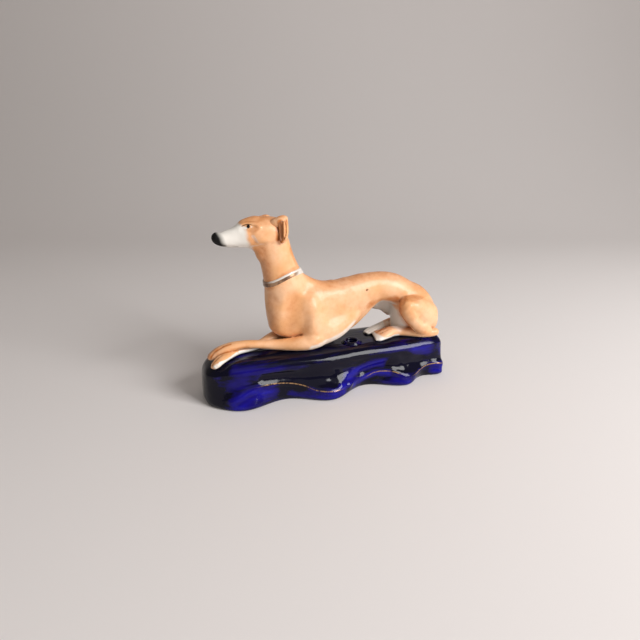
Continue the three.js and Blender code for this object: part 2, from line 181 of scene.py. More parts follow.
HEAD = [
    (-24.2, 0, 71.4, 3.4, 3),
    (-26.4, 0, 71.6, 6.4, 6.2),
    (-31, 0, 72.2, 8.4, 8.8),
    (-37.5, 0, 72.5, 9, 9.3),
    (-44, 0, 72.3, 8.6, 8.7),
    (-49, 0, 71.6, 7.7, 7.4),
    (-53.5, 0, 70.7, 6.4, 5.6),
    (-58.5, 0, 69.9, 5.1, 4.5),
    (-63.2, 0, 69.8, 3.8, 3.8),
    (-66, 0, 70.7, 3, 3.2),
    (-67.3, 0, 71, 2.2, 2.4),
    (-68, 0, 71.1, 1, 1.2),
]
# Where the neck runs out into the back and the chest
WITHERS = [
    (-21, 0, 43.4, 4.4, 5),
    (-15.5, 0, 41.6, 4.6, 6),
    (-10, 0, 38.2, 4.6, 6.6),
    (-3, 0, 35.4, 4.8, 7),
    (6, 0, 33, 4, 5),
]
BREAST = [
    (-30.8, 0, 42, 8, 6),
    (-32, 0, 33, 7.4, 7),
    (-31.8, 0, 25, 7, 7),
]
SHOULDER = [
    (-15, -4, 36, 5, 4),
    (-12.6, -6.6, 28, 7.4, 6.6),
    (-10.6, -7.8, 18, 8.6, 6.8),
    (-10.6, -8.4, 9, 8.4, 5.8),
]
RIBS = [
    (-10, -8.8, 8.2, 7.4, 6),
    (-3, -8.6, 9, 8.2, 6),
    (5, -7.4, 11.6, 8.2, 5.8),
    (13, -5.6, 16.4, 7.4, 5),
    (20, -4, 22, 4.6, 3),
]
# The left foreleg lies across the right one, which comes out under it on the near side.
LEFT_FORELEG = [
    (-4, -8.6, 7, 2.4, 2),
    (-7, -10.4, 6, 5, 4.2),
    (-13, -10.8, 5.2, 5.2, 4.8),
    (-22, -9.6, 4.4, 4.4, 4.2),
    (-33, -6.6, 4.2, 3.4, 3.4),
    (-45, -4.8, 5.4, 2.6, 2.9),
    (-54, -3.6, 6, 2.5, 3),
    (-62, -2.8, 5, 2.9, 3.8),
    (-69, -2.4, 2.8, 2.9, 4.2),
    (-73.8, -2.4, 0.2, 2.2, 3.4),
    (-75.4, -2.4, -1, 1.1, 1.8),
]
RIGHT_FORELEG = [
    (-4, 8.8, 8, 2.4, 2),
    (-7, 9.4, 7.6, 5, 4),
    (-13, 9.2, 6.8, 5.2, 4.2),
    (-23, 7.6, 6, 4.1, 3.8),
    (-34, 5, 5.2, 3.1, 3.2),
    (-43.5, 1.2, 2.6, 2.4, 3.4),
    (-51, -0.6, 1.8, 1.9, 3.1),
    (-57.6, -2.2, 1.6, 2, 3),
    (-64, -6, 1.5, 2.4, 3.7),
    (-69.2, -9.8, 0.6, 2.4, 3.9),
    (-72.4, -12.6, -0.8, 2.1, 3.6),
    (-74.2, -14.2, -1.8, 1.2, 2.4),
]
THIGH = [
    (72.6, -8, 5, 5, 5),
    (69.2, -9.4, 9, 8.2, 7.2),
    (65, -10.6, 14, 10.2, 8.4),
    (58.8, -11.8, 18.9, 8.4, 7.6),
    (52.6, -13.2, 22.2, 6.3, 6.2),
    (48.2, -13.8, 24.6, 4, 4),
]
SHANK = [
    (47.4, -13.8, 25, 2.8, 3),
    (50.2, -14, 22.4, 6, 5.4),
    (53.2, -14.4, 17, 5.8, 5.2),
    (58, -15, 10.8, 5.4, 4.9),
    (62.8, -15.6, 6, 4.8, 4.2),
    (67.4, -16.2, 3.4, 2.8, 2.8),
]
HIND_FOOT = [
    (73.4, -16.2, 3.2, 1.4, 1.6),
    (71.8, -16.6, 3, 2.7, 2.7),
    (67.6, -16.8, 2.7, 2.7, 2.8),
    (62, -14.8, 2.3, 2.6, 2.8),
    (56, -11.2, 2.4, 2.6, 2.8),
    (50, -8.2, 2.9, 3, 3.2),
    (44, -7.6, 3.4, 3.6, 4),
    (38.4, -8.2, 2.5, 3, 5.6),
    (34.2, -7.4, 1.4, 2.2, 7),
    (31.4, -6.8, 0.8, 1.3, 6),
]
FAR_HIND_FOOT = [
    (73.4, 16.2, 3.2, 1.4, 1.6),
    (71.8, 16.6, 3, 2.7, 2.7),
    (67.6, 16.2, 2.8, 2.7, 2.8),
    (61, 13.2, 2.8, 2.8, 2.9),
    (53, 9, 3.6, 3.2, 3),
    (46, 5.8, 3.4, 3, 3.2),
    (39, 4.2, 2.2, 2.4, 3.8),
    (34, 3.2, 1.3, 1.9, 4),
    (30.6, 2.6, 0.6, 1.4, 3.4),
    (29, 2.4, 0.4, 0.9, 2.2),
]
# The clay left between the haunches, and the web from the far flank to the far knee
HAUNCH_WEB = [
    (55, 0, 29, 5, 6),
    (55.6, 0, 22, 7.4, 8),
    (56, 0, 12, 8.4, 9),
    (56.6, 0, 3, 9, 9),
    (57, 0, -3, 9, 9),
]
FAR_FLANK = [
    (30, 6, 25.6, 4.4, 4),
    (38, 9, 21, 6, 5),
    (46, 10.5, 19, 6.8, 5),
    (54, 11, 14.6, 8, 5.6),
]
TAIL = [
    (72, 3, 9, 2.4, 2.4),
    (75.6, 6, 6, 2.3, 2.3),
    (76.4, 12, 2.9, 2.1, 2.1),
    (72.4, 17.8, 1.8, 1.9, 1.9),
    (64.5, 19.6, 1.6, 1.7, 1.7),
    (57, 18.8, 1.2, 1.2, 1.2),
]
# The ear is a folded flap, with a hollow along its outer face and a small fold in the hollow.
EAR = [
    (-30, -6.8, 81.9, 2.2, 1),
    (-29.6, -7.8, 80.4, 3.9, 2),
    (-28.8, -8.8, 77.2, 3, 2.4),
    (-28.7, -9.2, 73, 2.8, 2.3),
    (-29, -9.2, 70.2, 2.4, 2),
    (-29.4, -8.9, 68.2, 1.8, 1.6),
    (-29.8, -8.6, 67, 0.9, 0.9),
]
EAR_ROOT = [
    (-36.2, -2.8, 77, 1.2, 1.4),
    (-34.2, -5, 78, 2.1, 2.2),
    (-31.8, -6.8, 78.6, 2.9, 2.5),
    (-29.4, -7.8, 78.8, 2.5, 2),
]
EAR_HOLLOW = [
    (-30, -10.6, 79.8, 1.8, 1.2),
    (-30, -11.1, 78, 2.7, 1.9),
    (-30, -11.4, 74.4, 2.7, 2.2),
    (-30.1, -11.3, 71.2, 2.3, 2.1),
    (-30.2, -10.9, 69.4, 1.6, 1.6),
    (-30.2, -10.5, 68.4, 0.7, 0.8),
]
EAR_FOLD = [
    (-28.5, -9.6, 80, 0.4, 0.5),
    (-28.6, -10, 77, 0.75, 0.9),
    (-28.6, -10.1, 73.4, 0.75, 0.9),
    (-28.8, -10, 70.6, 0.5, 0.7),
]
# The far ear is the near one mirrored, moved along x and z in mm, and tipped back behind its pivot.
FAR_EAR_MOVE = (-6.2, -0.5)
FAR_EAR_TILT = 0.35
FAR_EAR_PIVOT = -32
# The painted pupil, which is taller than wide, and the centre and radius of the lid's arc over it
PUPIL = (-48, 5.9, 77.1)
PUPIL_STRETCH = (1, 1, 0.8)
LID_CENTRE = (-47.7, 0, 72.1)
LID_RADIUS = 5.95 * MM
# Where their paint ends and where it is whole: from the pupil's middle, from the arc, up, and forwards
PUPIL_EDGE = (1.05 * MM, 0.8 * MM)
LID_EDGE = (0.36 * MM, 0.08 * MM)
LID_FOOT = (76.6, 77.3)
LID_REAR = (-45, -47.6)
# The middle of the collar, as x and z in mm above the mound's top
COLLAR_LINE = [
    (-46, 40.6), (-39.6, 41.6), (-36, 43), (-32.4, 44.8), (-28.4, 46.8), (-24, 48.4), (-19, 49), (-8, 48.4),
]
COLLAR_HEIGHT = 3.1 * MM
COLLAR_THICKNESS = 0.7 * MM
COLLAR_SEAT = 0.4 * MM
COLLAR_GRAIN = 0.28 * MM
# The width in mm of the slab that takes the band off the neck, which is narrower
NECK_CLEAR = 32
# Where the rubbing of the collar's gilt sets in, as x in mm: along its upper edge, and all over at its
# back. The cream there is also a painted reflection of the light.
COLLAR_FRONT = (-40, -35)
COLLAR_BACK = (-24, -18)
LEAST_RUBBED_AND_LIT = 0.3
MOST_RUBBED_AND_LIT = 0.9
# The pin-sized hole that lets the air out of the hollow body in the kiln
VENT = (24.5, -15, 34)
VENT_REACH = 16 * MM
# The least half width of a form's ring, and the two directions that rings can face
THINNEST = 0.1 * MM
ALONG_Y = Vector((0, 1, 0))
ALONG_Z = Vector((0, 0, 1))


def on_dog(x, y, z):
    """A place on the dog, from mm measured above the mound's top."""
    return Vector((x * MM, y * MM, z * MM + DOG_FOOT))


def mirrored(stations):
    return [(x, -y, *rest) for x, y, *rest in stations]


CORE_FORMS = [TRUNK, NECK, HEAD, WITHERS, BREAST, SHOULDER, mirrored(SHOULDER), RIBS, mirrored(RIBS)]
CORE_FORMS += [HAUNCH_WEB, FAR_FLANK]
NEAR_HIND_LEG = [THIGH, SHANK, HIND_FOOT]
FAR_HIND_LEG = [mirrored(THIGH), mirrored(SHANK), FAR_HIND_FOOT]
# Where the joins between forms are smoothed away: the rounds, and each spot's place and radius in mm
CORE_JOINS = [
    (26, [(-26, 0, 36, 24), (-12, 0, 38, 16), (-38, 0, 62, 9)]),
    (30, [(-10, -14, 16, 20), (-10, 14, 16, 20)]),
    (60, [(4, -13, 17, 17), (4, 13, 17, 17)]),
    (40, [(49, 3, 15, 9)]),
]
LIMB_JOINS = [
    (60, [(-8, -13, 8, 9), (-8, 13, 8, 9), (-14, -13, 10, 6), (-14, 13, 10, 6)]),
    (40, [(62, -17, 13, 9), (58, -15, 27, 8), (62, 17, 13, 9), (58, 15, 27, 8)]),
    (40, [(68, -8, 25, 9), (68, 8, 25, 9)]),
]
# Each limb that is cut off: its forms, how much clay around them it takes, and the way its rings face
LIMBS = [
    ("tail", [TAIL], 0.8 * MM, ALONG_Z),
    ("left_foreleg", [LEFT_FORELEG], 1.4 * MM, ALONG_Y),
    ("right_foreleg", [RIGHT_FORELEG], 1.4 * MM, ALONG_Y),
    ("left_hind_leg", NEAR_HIND_LEG, 1.6 * MM, ALONG_Y),
    ("right_hind_leg", FAR_HIND_LEG, 1.6 * MM, ALONG_Y),
]
CUTTER_GRAIN = 0.9 * MM
# How far the dog reaches into the mound's top, so that no gap shows
SEAT_DEPTH = 0.6 * MM
# Strokes of the modelling tool: radius, how far they raise the clay or press it in, and the line, in mm.
# The first list is made on both sides of the dog.
PAIRED_STROKES = [
    (3.4, -0.5, [(-50.5, -5.6, 75.8), (-46, -7.2, 75.6)]),
    (1.5, 0.5, [(-48, -5.9, 77.1)]),
    (1.7, 0.6, [(-52, -3.6, 78.4), (-48.4, -4.4, 79.2), (-44.4, -6.2, 78.6), (-42, -8, 76.6)]),
    (2, -0.3, [(-47.2, -7.4, 74.2), (-46.4, -8, 70.6), (-45, -7.6, 67.6)]),
    (4, 0.5, [(-41.5, -8.4, 69.6), (-38, -8.6, 68.4)]),
    (0.9, -0.35, [
        (-66.4, -2.5, 68.2), (-64.6, -2.9, 67.1), (-61.6, -3.2, 66.3), (-58, -3.3, 65.8), (-48, -4.2, 65.2),
    ]),
    (0.9, -0.5, [(-66.6, -1.7, 71)]),
    (3.2, -0.5, [(57.6, -19, 14.6), (60.6, -19, 11.6)]),
    (3.4, -0.5, [(47, -12, 28.4), (51, -14.4, 29), (56, -16.6, 27.4)]),
    (8, -1.4, [(-24, -12.8, 33), (-26, -13.6, 22), (-27.4, -13, 13)]),
    (7, 0.8, [(-13.5, -12.5, 32), (-12.4, -15, 22), (-12, -16, 10)]),
]
OWN_STROKES = [
    (5, 0.9, [(-49.8, 0, 79.2), (-44, 0, 80.8)]),
    (6, 1.6, [(-43, 0, 64), (-40.6, 0, 60)]),
    (3.6, -0.4, [(-56, 0, 76.2)]),
    (2.4, 0.4, [(-65.2, 0, 72.8)]),
    (0.8, -0.55, [(-74.6, -5.3, 0.6), (-72.1, -4.6, 3.8), (-67.1, -4.4, 6.4)]),
    (0.8, -0.5, [(-75, -0.8, 0.6), (-72.6, -0.2, 3.4), (-69, -0.2, 5)]),
    (0.8, -0.5, [(-74.2, -13.4, -0.5), (-72, -11.6, 1.9), (-68.4, -9, 3.2)]),
    (0.8, -0.5, [(-72.8, -15.6, -0.8), (-70.4, -13.6, 1.4), (-67, -11, 2.4)]),
    (0.9, -0.45, [(32, -6.4, 1), (34.6, -6.2, 3.4), (39, -6.8, 5.6)]),
    (0.9, -0.45, [(32.2, -10.4, 1), (34.8, -10.4, 3.2), (39, -10, 5.2)]),
    (0.9, -0.45, [(32.4, -3, 1), (35, -2.8, 3), (39, -3.6, 5)]),
    (0.8, -0.6, [(29.4, 3.4, 0.6), (31.4, 3.4, 2.8), (36, 3.8, 4.8)]),
    (0.8, -0.5, [(29.6, 1, 0.6), (31.6, 1, 2.6), (36, 1.4, 4.4)]),
]
# Strokes of the brush: which enamel, how strongly, radius, and the line, in mm. Some strokes lay painted
# shade or a painted highlight in place of enamel; each of these is marked.
PAIRED_BRUSH = [
    ("black", 1, 1.3, [(-66.6, -2.5, 68.4), (-64.6, -2.9, 67.1), (-61, -3.2, 66)]),
    ("black", 0.9, 0.9, [(-61, -3.2, 66), (-58, -3.3, 65.5), (-54, -3.2, 65)]),
    ("deep", 1, 0.8, [(-52.7, -3.2, 65), (-47, -4.2, 65)]),
    ("white", 0.8, 1.1, [(-50.4, -5, 76.3), (-49.4, -5.6, 76.2)]),
    # A painted highlight on the cheek, laid in white.
    ("white", 0.38, 1.6, [(-46, -7.8, 71.8), (-44.8, -8.2, 69.6), (-43.4, -8.2, 67.2)]),
    # Painted shade down the side of the throat and the neck.
    ("deep", 0.6, 5.5, [(-41, -4, 62), (-39.4, -5, 52), (-38.6, -5, 43)]),
    ("deep", 0.55, 3, [(-22.5, -3, 62), (-19.4, -4, 53), (-17.4, -4, 50)]),
    ("white", 0.7, 0.9, [(-46.4, -6.8, 76.9)]),
    ("deep", 0.5, 2, [(-47.4, -7.2, 74.8), (-45, -7.8, 75.2), (-43.2, -8.2, 76.8)]),
    ("deep", 0.3, 2, [(-47.2, -7.6, 73.6), (-46.6, -7.9, 70.6), (-45.4, -7.6, 68)]),
    # The next three strokes are painted shade over deeper enamel: down the front of the thigh, along the
    # flank above the belly's edge, and in the knee's crease.
    ("deep", 0.95, 4.8, [(45.2, -11.6, 20), (47, -12.6, 15), (51.4, -13.6, 8)]),
    ("deep", 0.85, 4.4, [(29, -8, 22.6), (38, -8, 23.4), (45, -9.4, 25)]),
    ("deep", 0.3, 2.4, [(50.8, -13.6, 28.8), (55.6, -17.9, 26.5)]),
    ("deep", 0.6, 1, [(-45.4, -7.4, 77.6), (-43.8, -7.9, 76.4), (-44.4, -7.8, 75)]),
    # Painted shade in the crease low on the haunch.
    ("deep", 0.4, 2, [(57, -18, 5.4), (62, -18.4, 4.4)]),
    ("white", 0.6, 4.4, [
        (-13, -15, 1.4), (-6, -14, 3), (0, -13, 4.4), (6, -12, 6), (10, -11, 8.2), (17, -9.8, 12),
    ]),
    # The next two strokes are painted shade: in the hollow between the chest and the shoulder, and down the
    # front of the chest.
    ("deep", 0.4, 6, [(-24, -12.8, 33), (-26, -13.6, 22), (-27.4, -13, 13)]),
    ("deep", 0.3, 5, [(-36, -6, 34), (-36.6, -6, 14)]),
    ("deep", 0.55, 5, [(14, -13, 44), (30, -10, 43), (46, -9, 41)]),
]
OWN_BRUSH = [
    # The next two strokes are painted shade, brown and black, in the slot between the ear and the skull.
    ("deep", 1, 1.8, [(-31.8, -8.4, 78.6), (-31.8, -8.6, 69)]),
    ("black", 0.55, 1.3, [(-31.4, -8.4, 78.4), (-31.4, -8.6, 69)]),
    ("white", 1, 1.5, [(-58.8, -6.5, 1.6), (-62.3, -9.2, 1), (-66.4, -12.3, 0.4), (-70, -14.4, 0.6)]),
    ("white", 0.7, 2.2, [(-70, -15, 0), (-73, -15.6, -1)]),
    ("white", 1, 2.4, [(-57, -4.6, 1), (-50, -3.4, 0.4), (-43, -2.6, 0.6)]),
    ("deep", 1, 1, [(-74.6, -5.3, 0.6), (-72.1, -4.6, 3.8), (-67.1, -4.4, 6.4), (-62, -4.4, 7.4)]),
    ("deep", 0.9, 1, [(-75, -0.8, 0.6), (-72.6, -0.2, 3.4), (-69, -0.2, 5)]),
    ("deep", 0.45, 5, [(-76, -3, 0), (-71, -3, 4)]),
    ("deep", 0.5, 1.6, [(-70, -5.8, 2.6), (-62, -5.6, 4.4), (-52, -6, 5)]),
    ("deep", 1, 0.8, [(-72.6, -8.6, 1.2), (-68.4, -7.6, 3), (-64.2, -7.1, 3.9), (-58.9, -5.8, 3.6)]),
    ("deep", 1, 0.7, [(-74.2, -13.4, -0.5), (-72, -11.6, 1.9), (-70, -10.4, 2.6)]),
    ("deep", 0.9, 0.7, [(-72.8, -15.6, -0.8), (-71, -14.2, 1)]),
    ("white", 1, 3.8, [(31, -1, 1), (31.2, -8, 0.8), (33.6, -13.6, 0.4)]),
    ("white", 1, 2, [(34.4, -14.2, 0.6), (38, -13.4, 0.8), (42, -11.8, 1), (47, -11, 0.8)]),
    ("deep", 1, 1.8, [(32.2, -6.4, 1.6), (34.6, -6.2, 3.6), (44, -6.8, 7)]),
    ("deep", 0.8, 1.2, [(32.8, -10.2, 1.4), (34.8, -10.2, 3.2), (42, -9.8, 5.6)]),
    ("deep", 0.95, 1.6, [(32, -1.8, 1.4), (35, -2, 3.2), (42, -3.8, 6)]),
    ("deep", 0.55, 2.8, [(40, -7.4, 6.4), (50, -8.4, 6)]),
    ("black", 1, 0.5, [(36, -10.6, 4.2)]),
    ("white", 1, 6.5, [(29, 3, 1), (34, 3.4, 2), (40, 5, 3)]),
    ("deep", 0.7, 1, [(29.8, 3.4, 1), (31.4, 3.4, 2), (35, 3.6, 3.2)]),
    ("deep", 0.6, 1, [(30, 1, 1), (31.6, 1, 2), (35, 1.4, 3.2)]),
    ("black", 1, 1.5, [(28.4, 1.6, 0), (29.2, -0.4, 0)]),
    ("white", 0.85, 9, [(47, 4.6, 14), (48, 0, 12), (49, -4, 6), (42, 6, 19)]),
    ("deep", 0.6, 2, [(-32.3, -8.6, 46), (-28, -8.8, 48.4), (-24, -8.4, 50.4), (-18, -4, 51.4)]),
]
EAR_BRUSH = [
    # The black strokes are painted shade in the ear's hollow and in the crease behind its fold; the brown
    # strokes there are darker enamel with painted shade in it.
    ("black", 0.6, 1.5, [(-30.8, -9.6, 78.2), (-30.8, -9.6, 73), (-30.4, -9.6, 69)]),
    ("black", 0.35, 0.6, [(-27.5, -10, 79.4), (-27.6, -10, 73.4), (-28.4, -10, 69.6)]),
    ("deep", 1, 2.2, [(-30.8, -10, 79), (-30.6, -10, 68.6)]),
    ("deep", 0.9, 1.1, [(-27.5, -10, 80), (-27.6, -10, 73), (-28.6, -10, 69)]),
    ("deep", 0.6, 2.6, [(-34, -5.4, 81.4), (-29, -8, 82.4)]),
]
# The painted edges across the muzzle and the nose, as x and z in mm, and how softly they blend
MUZZLE_EDGE = [(-46.4, 62), (-47.4, 66.5), (-49.2, 69.9), (-49.4, 74.3), (-50.6, 76.7), (-52.8, 78.6)]
NOSE_EDGE = [(-60.6, 65.4), (-61.4, 67.1), (-62.2, 68.6), (-62.8, 71.1), (-64, 73.4), (-65, 75)]
PAINTED_EDGES = [("white", MUZZLE_EDGE, 4), ("black", NOSE_EDGE, 3.2)]
# They are painted in front of this x, and down to so far below their lowest point, in mm.
HEAD_MIDDLE = -40
EDGE_FOOT = 3
# How thick the enamel is on what faces up above this height, and how white what faces down is left
DEEP_ON_TOP = 0.58
FACES_UP = (0.45, 0.95)
BACK_HEIGHT = 26
WHITE_BELOW = 0.75
FACES_DOWN = (0.6, 0.85)
# How hard the edges of brush strokes are, from 1 for a stroke that fades from its middle on
ENAMEL_HARD = 2
GLAZE_HARD = 1.3

# The folds of the mound's sides, on the near and the far side: radius, rise and the line as x and z in mm
NEAR_FOLDS = [
    (3.4, 1, [(-66, 6), (-56, 11), (-47, 13.3), (-35, 12.6), (-24, 10.3), (-16, 7.1), (-4, 5.8), (8, 6)]),
    (3.4, 1, [
        (8, 6), (19, 7.4), (28, 9.9), (38, 9.9), (45, 7), (54, 5.6), (60, 6.6), (71, 9.1), (79, 7.2),
    ]),
    (4.4, 0.8, [(2, 9), (12, 13.2), (22, 16.6), (34, 18.6), (42, 18)]),
    (5, -1, [(-46, 17.4), (-30, 16.4), (-16, 14.4), (-5, 13)]),
    (4, -0.7, [(18, 11.5), (34, 14)]),
    (5, -0.7, [(50, 13), (62, 14)]),
]
FAR_FOLDS = [
    (3.4, 1, [(-70, 9), (-48, 12), (-22, 6.4), (7, 11), (36, 6.4), (57, 10), (74, 8)]),
    (5, -1, [(-52, 17), (-20, 13), (10, 16), (34, 12.6), (60, 15)]),
]
# Where the cobalt has run thin and where it pools: how strongly, radius, and the line as x and z. The thin
# strokes are partly the glaze's thin runs and partly painted light on the folds, with a painted highlight
# along the hem; the others are partly painted shade in the coves and at the front end.
THIN_GLAZE_AND_LIGHT = [
    (1, 7, [(-64, 3), (-57, 7), (-48, 9.5), (-42, 9)]),
    (0.5, 6, [(-72, 18), (-66, 17), (-58, 16)]),
    (0.6, 3.5, [(-30, 4.5), (-20, 3.5), (-10, 3), (2, 3.6)]),
    (0.85, 5, [(2, 7), (8, 10), (14, 12)]),
    (1, 4.5, [(12, 12), (22, 14.5), (32, 15.5)]),
    # A painted highlight along the hem.
    (0.9, 3, [(12, 4.5), (20, 6.5), (28, 9), (36, 9)]),
    (0.5, 4, [(40, 5), (48, 3.5)]),
    (0.7, 6, [(56, 20), (66, 21)]),
    (0.9, 5, [(72, 5), (79, 5)]),
    (0.3, 5, [(-64, 22), (-40, 21), (-20, 19)]),
]
POOLED_GLAZE_AND_SHADE = [
    # These strokes are gathered glaze with painted shade over it, in the coves and at the front end.
    (1, 6, [(-44, 15.5), (-30, 15.5), (-22, 13)]),
    (1, 7, [(-22, 15), (-8, 14), (-2, 13)]),
    (1, 7, [(41, 15), (50, 15.5), (57, 13)]),
    (1, 15, [(-80, 4), (-77, 20)]),
    (0.8, 5, [(0, 22), (18, 23)]),
]
# The gilt line on the near side, as x and z in mm, and how much of it is left along x, from 0 to 1
GILT_LINE = [
    (-80, 9), (-47, 13.3), (-35, 12.6), (-29, 11.6), (-23.5, 10.3), (-19, 8.7), (-15.5, 7.1), (-8, 6.1),
    (0, 5.8), (19, 6.6), (28, 9.9), (33, 10.3), (38, 9.9), (42, 8.6), (53.5, 5.6), (60, 6.6), (66, 8.5),
    (71, 9.1), (75, 8.8), (80, 6.8),
]
GILT_LEFT = [
    (-80, 0), (-54, 0), (-46, 0.5), (-38, 1), (-8, 1), (0, 0.6), (5, 0), (17, 0), (22, 0.5), (28, 1),
    (38, 1), (43, 0.3), (46, 0), (51, 0), (55, 0.8), (60, 1), (77, 1), (80, 0.7),
]
LINE_REACH = (GILT_LINE[0][0] * MM, GILT_LINE[-1][0] * MM)
LINE_TOP = 28
# Where its paint ends and where it is whole, in mm from its middle, and where the near side begins
LINE_EDGE = (0.46, 0.16)
NEAR_SIDE = (-12 * MM, -14 * MM)
# The glaze's marks are drawn out along the mound.
DRAWN_OUT = (0.22, 1, 1)

# Levels of the mound's wall from the top down: height as a share of the whole, how far each side and
# each end stands in from the hem in mm, how much of the hem's wave shows, and how much it lifts.
MOUND_LEVELS = [
    (1, 11, 8.6, 0, 0),
    (0.985, 8, 5.6, 0, 0),
    (0.94, 5.3, 3.3, 0.02, 0),
    (0.87, 3.6, 1.8, 0.05, 0),
    (0.79, 2.9, 0.8, 0.08, 0),
    (0.65, 3.7, 0.2, 0.18, 0),
    (0.48, 3.3, 0.1, 0.38, 0),
    (0.3, 2, 0, 0.65, 0),
    (0.14, 0.5, 0, 0.95, 0),
    (0.04, 0, 0, 1, 1),
    (0, 1.4, 1.2, 0.95, 0),
]
# The levels that the inside follows, and how far below its ceiling the uppermost of them ends
INNER_LEVELS = MOUND_LEVELS[4:9]
CEILING_CURVE = 1 * MM
# The rings that close the mound's flat top, in mm inside its edge
TOP_INSETS = (12.2, 9, 6, 3.6, 1.8)
# Where the hem's lobes are along x, in mm
NEAR_LOBES = [-116, -62, -5, 48, 82, 116]
FAR_LOBES = [-124, -74, -22, 36, 78, 116]
# How much less the hem swings at the ends, and how much narrower the mound gets towards its rear
HEM_FADE = 0.65
MOUND_TAPER = 0.02
# How square the mound is in plan at each end: 2 would be round
FRONT_CORNER = 3.2
REAR_CORNER = 8.5
# How much of the mound's length the droop of its front end takes up
DROOP_LENGTH = 34 * MM


def curve_point(points, along):
    """A point on the smooth curve through all the points, with along from 0 to 1."""
    place = along * (len(points) - 1)
    i = min(int(place), len(points) - 2)
    t = place - i
    a, b = points[i], points[i + 1]
    before = points[i - 1] if i else 2 * a - b
    after = points[i + 2] if i + 2 < len(points) else 2 * b - a
    gaps = [max(np.linalg.norm(q - p), 1e-9) ** 0.5 for p, q in ((before, a), (a, b), (b, after))]
    leave = (a - before) / gaps[0] - (b - before) / (gaps[0] + gaps[1]) + (b - a) / gaps[1]
    arrive = (b - a) / gaps[1] - (after - a) / (gaps[1] + gaps[2]) + (after - b) / gaps[2]
    leave, arrive = leave * gaps[1], arrive * gaps[1]
    return (
        a * (2 * t**3 - 3 * t**2 + 1)
        + b * (3 * t**2 - 2 * t**3)
        + leave * (t**3 - 2 * t**2 + t)
        + arrive * (t**3 - t**2)
    )


def select_only(*objects):
    bpy.ops.object.select_all(action="DESELECT")
    for one in objects:
        one.select_set(True)
    bpy.context.view_layer.objects.active = objects[0]


def primitive(add, **settings):
    """The mesh that one of Blender's add operators makes."""
    bpy.ops.object.select_all(action="DESELECT")
    add(**settings)
    return bpy.context.object


def loft(name, rings):
    """A closed skin: a disc that is extruded ring by ring."""
    disc = bpy.ops.mesh.primitive_circle_add
    made = primitive(disc, vertices=len(rings[0]), radius=MM, fill_type="NGON")
    made.name = name
    bpy.ops.object.mode_set(mode="EDIT")
    for number, ring in enumerate(rings):
        if number:
            bpy.ops.mesh.extrude_region_move()
        shape = bmesh.from_edit_mesh(made.data)
        face = next(face for face in shape.faces if face.select)
        for corner, point in zip(face.loops, ring):
            corner.vert.co = point
    bpy.ops.mesh.select_all(action="SELECT")
    bpy.ops.mesh.normals_make_consistent(inside=False)
    bpy.ops.object.mode_set(mode="OBJECT")
    return made


def clay_form(name, stations, grow=0, steps=4, sides=32, across=ALONG_Y):
    """A limb or a trunk as a modeller rolls it: oval rings along a smooth line."""
    centres = [np.array(on_dog(*station[:3])) for station in stations]
    spreads = [np.array((*station[3:], 0)[:3]) * MM for station in stations]
    count = (len(stations) - 1) * steps
    rings = []
    for number in range(count + 1):
        along = number / count
        here = Vector(curve_point(centres, along))
        ahead = curve_point(centres, min(along + 0.001, 1)) - curve_point(centres, max(along - 0.001, 0))
        ahead = Vector(ahead).normalized()
        side = (across - ahead * across.dot(ahead)).normalized()
        up = side.cross(ahead).normalized()
        flat = abs(up.z) <= abs(up.x)
        if (up.x if flat else up.z) < 0:
            up.negate()
        if number in (0, count):
            here = here + ahead * (grow if number else -grow)
        depth, width, keel = curve_point(spreads, along)
        keel /= MM
        width, depth = max(width + grow, THINNEST), max(depth + grow, THINNEST)
        ring = []
        for s in range(sides):
            turn = 2 * math.pi * s / sides
            rise = math.sin(turn)
            spread = math.cos(turn) * (1 + keel * (rise - 1) / 2)
            ring.append(here + side * spread * width + up * rise * depth)
        rings.append(ring)
    return loft(name, rings)


def joined(name, *pieces):
    select_only(*pieces)
    bpy.ops.object.join()
    pieces[0].name = name
    return pieces[0]


def worked(piece, kind, **settings):
    """The piece with one modifier added, set and applied."""
    select_only(piece)
    modifier = piece.modifiers.new(kind, kind)
    for setting, value in settings.items():
        setattr(modifier, setting, value)
    bpy.ops.object.modifier_apply(modifier=modifier.name)
    return piece


def remeshed(piece, grain):
    return worked(piece, "REMESH", mode="VOXEL", voxel_size=grain, use_smooth_shade=True)


def softened(piece, rounds):
    return worked(piece, "SMOOTH", factor=0.5, iterations=rounds)


def copied(piece, name):
    twin = piece.copy()
    twin.data = piece.data.copy()
    twin.name = name
    bpy.context.scene.collection.objects.link(twin)
    return twin


def cut(piece, tool, keep):
    """Cuts the piece with a closed tool: INTERSECT keeps what lies inside it, DIFFERENCE the rest."""
    return worked(piece, "BOOLEAN", operation=keep, object=tool, solver="MANIFOLD")


def removed(*pieces):
    for piece in pieces:
        bpy.data.meshes.remove(piece.data)


def per_point(piece, value="co"):
    """Each point's place, or another value of three numbers, such as its normal."""
    flat = np.empty(len(piece.data.vertices) * 3)
    piece.data.vertices.foreach_get(value, flat)
    return flat.reshape(-1, 3)


def largest_part(piece):
    """Drops the loose crumbs that a cut has left."""
    name = piece.name
    select_only(piece)
    bpy.ops.object.mode_set(mode="EDIT")
    bpy.ops.mesh.select_all(action="SELECT")
    bpy.ops.mesh.separate(type="LOOSE")
    bpy.ops.object.mode_set(mode="OBJECT")
    parts = sorted(bpy.context.selected_objects, key=lambda part: len(part.data.vertices))
    kept = parts.pop()
    removed(*parts)
    kept.name = name
    return kept


def line_distances(points, line):
    """How far each point is from a line, in mm, where both are flat or both are solid."""
    corners = [np.array(place, float) for place in line]
    nearest = np.linalg.norm(points - corners[0], axis=1)
    for a, b in zip(corners, corners[1:]):
        span = b - a
        along = np.clip((points - a) @ span / (span @ span), 0, 1)
        nearest = np.minimum(nearest, np.linalg.norm(points - a - along[:, None] * span, axis=1))
    return nearest


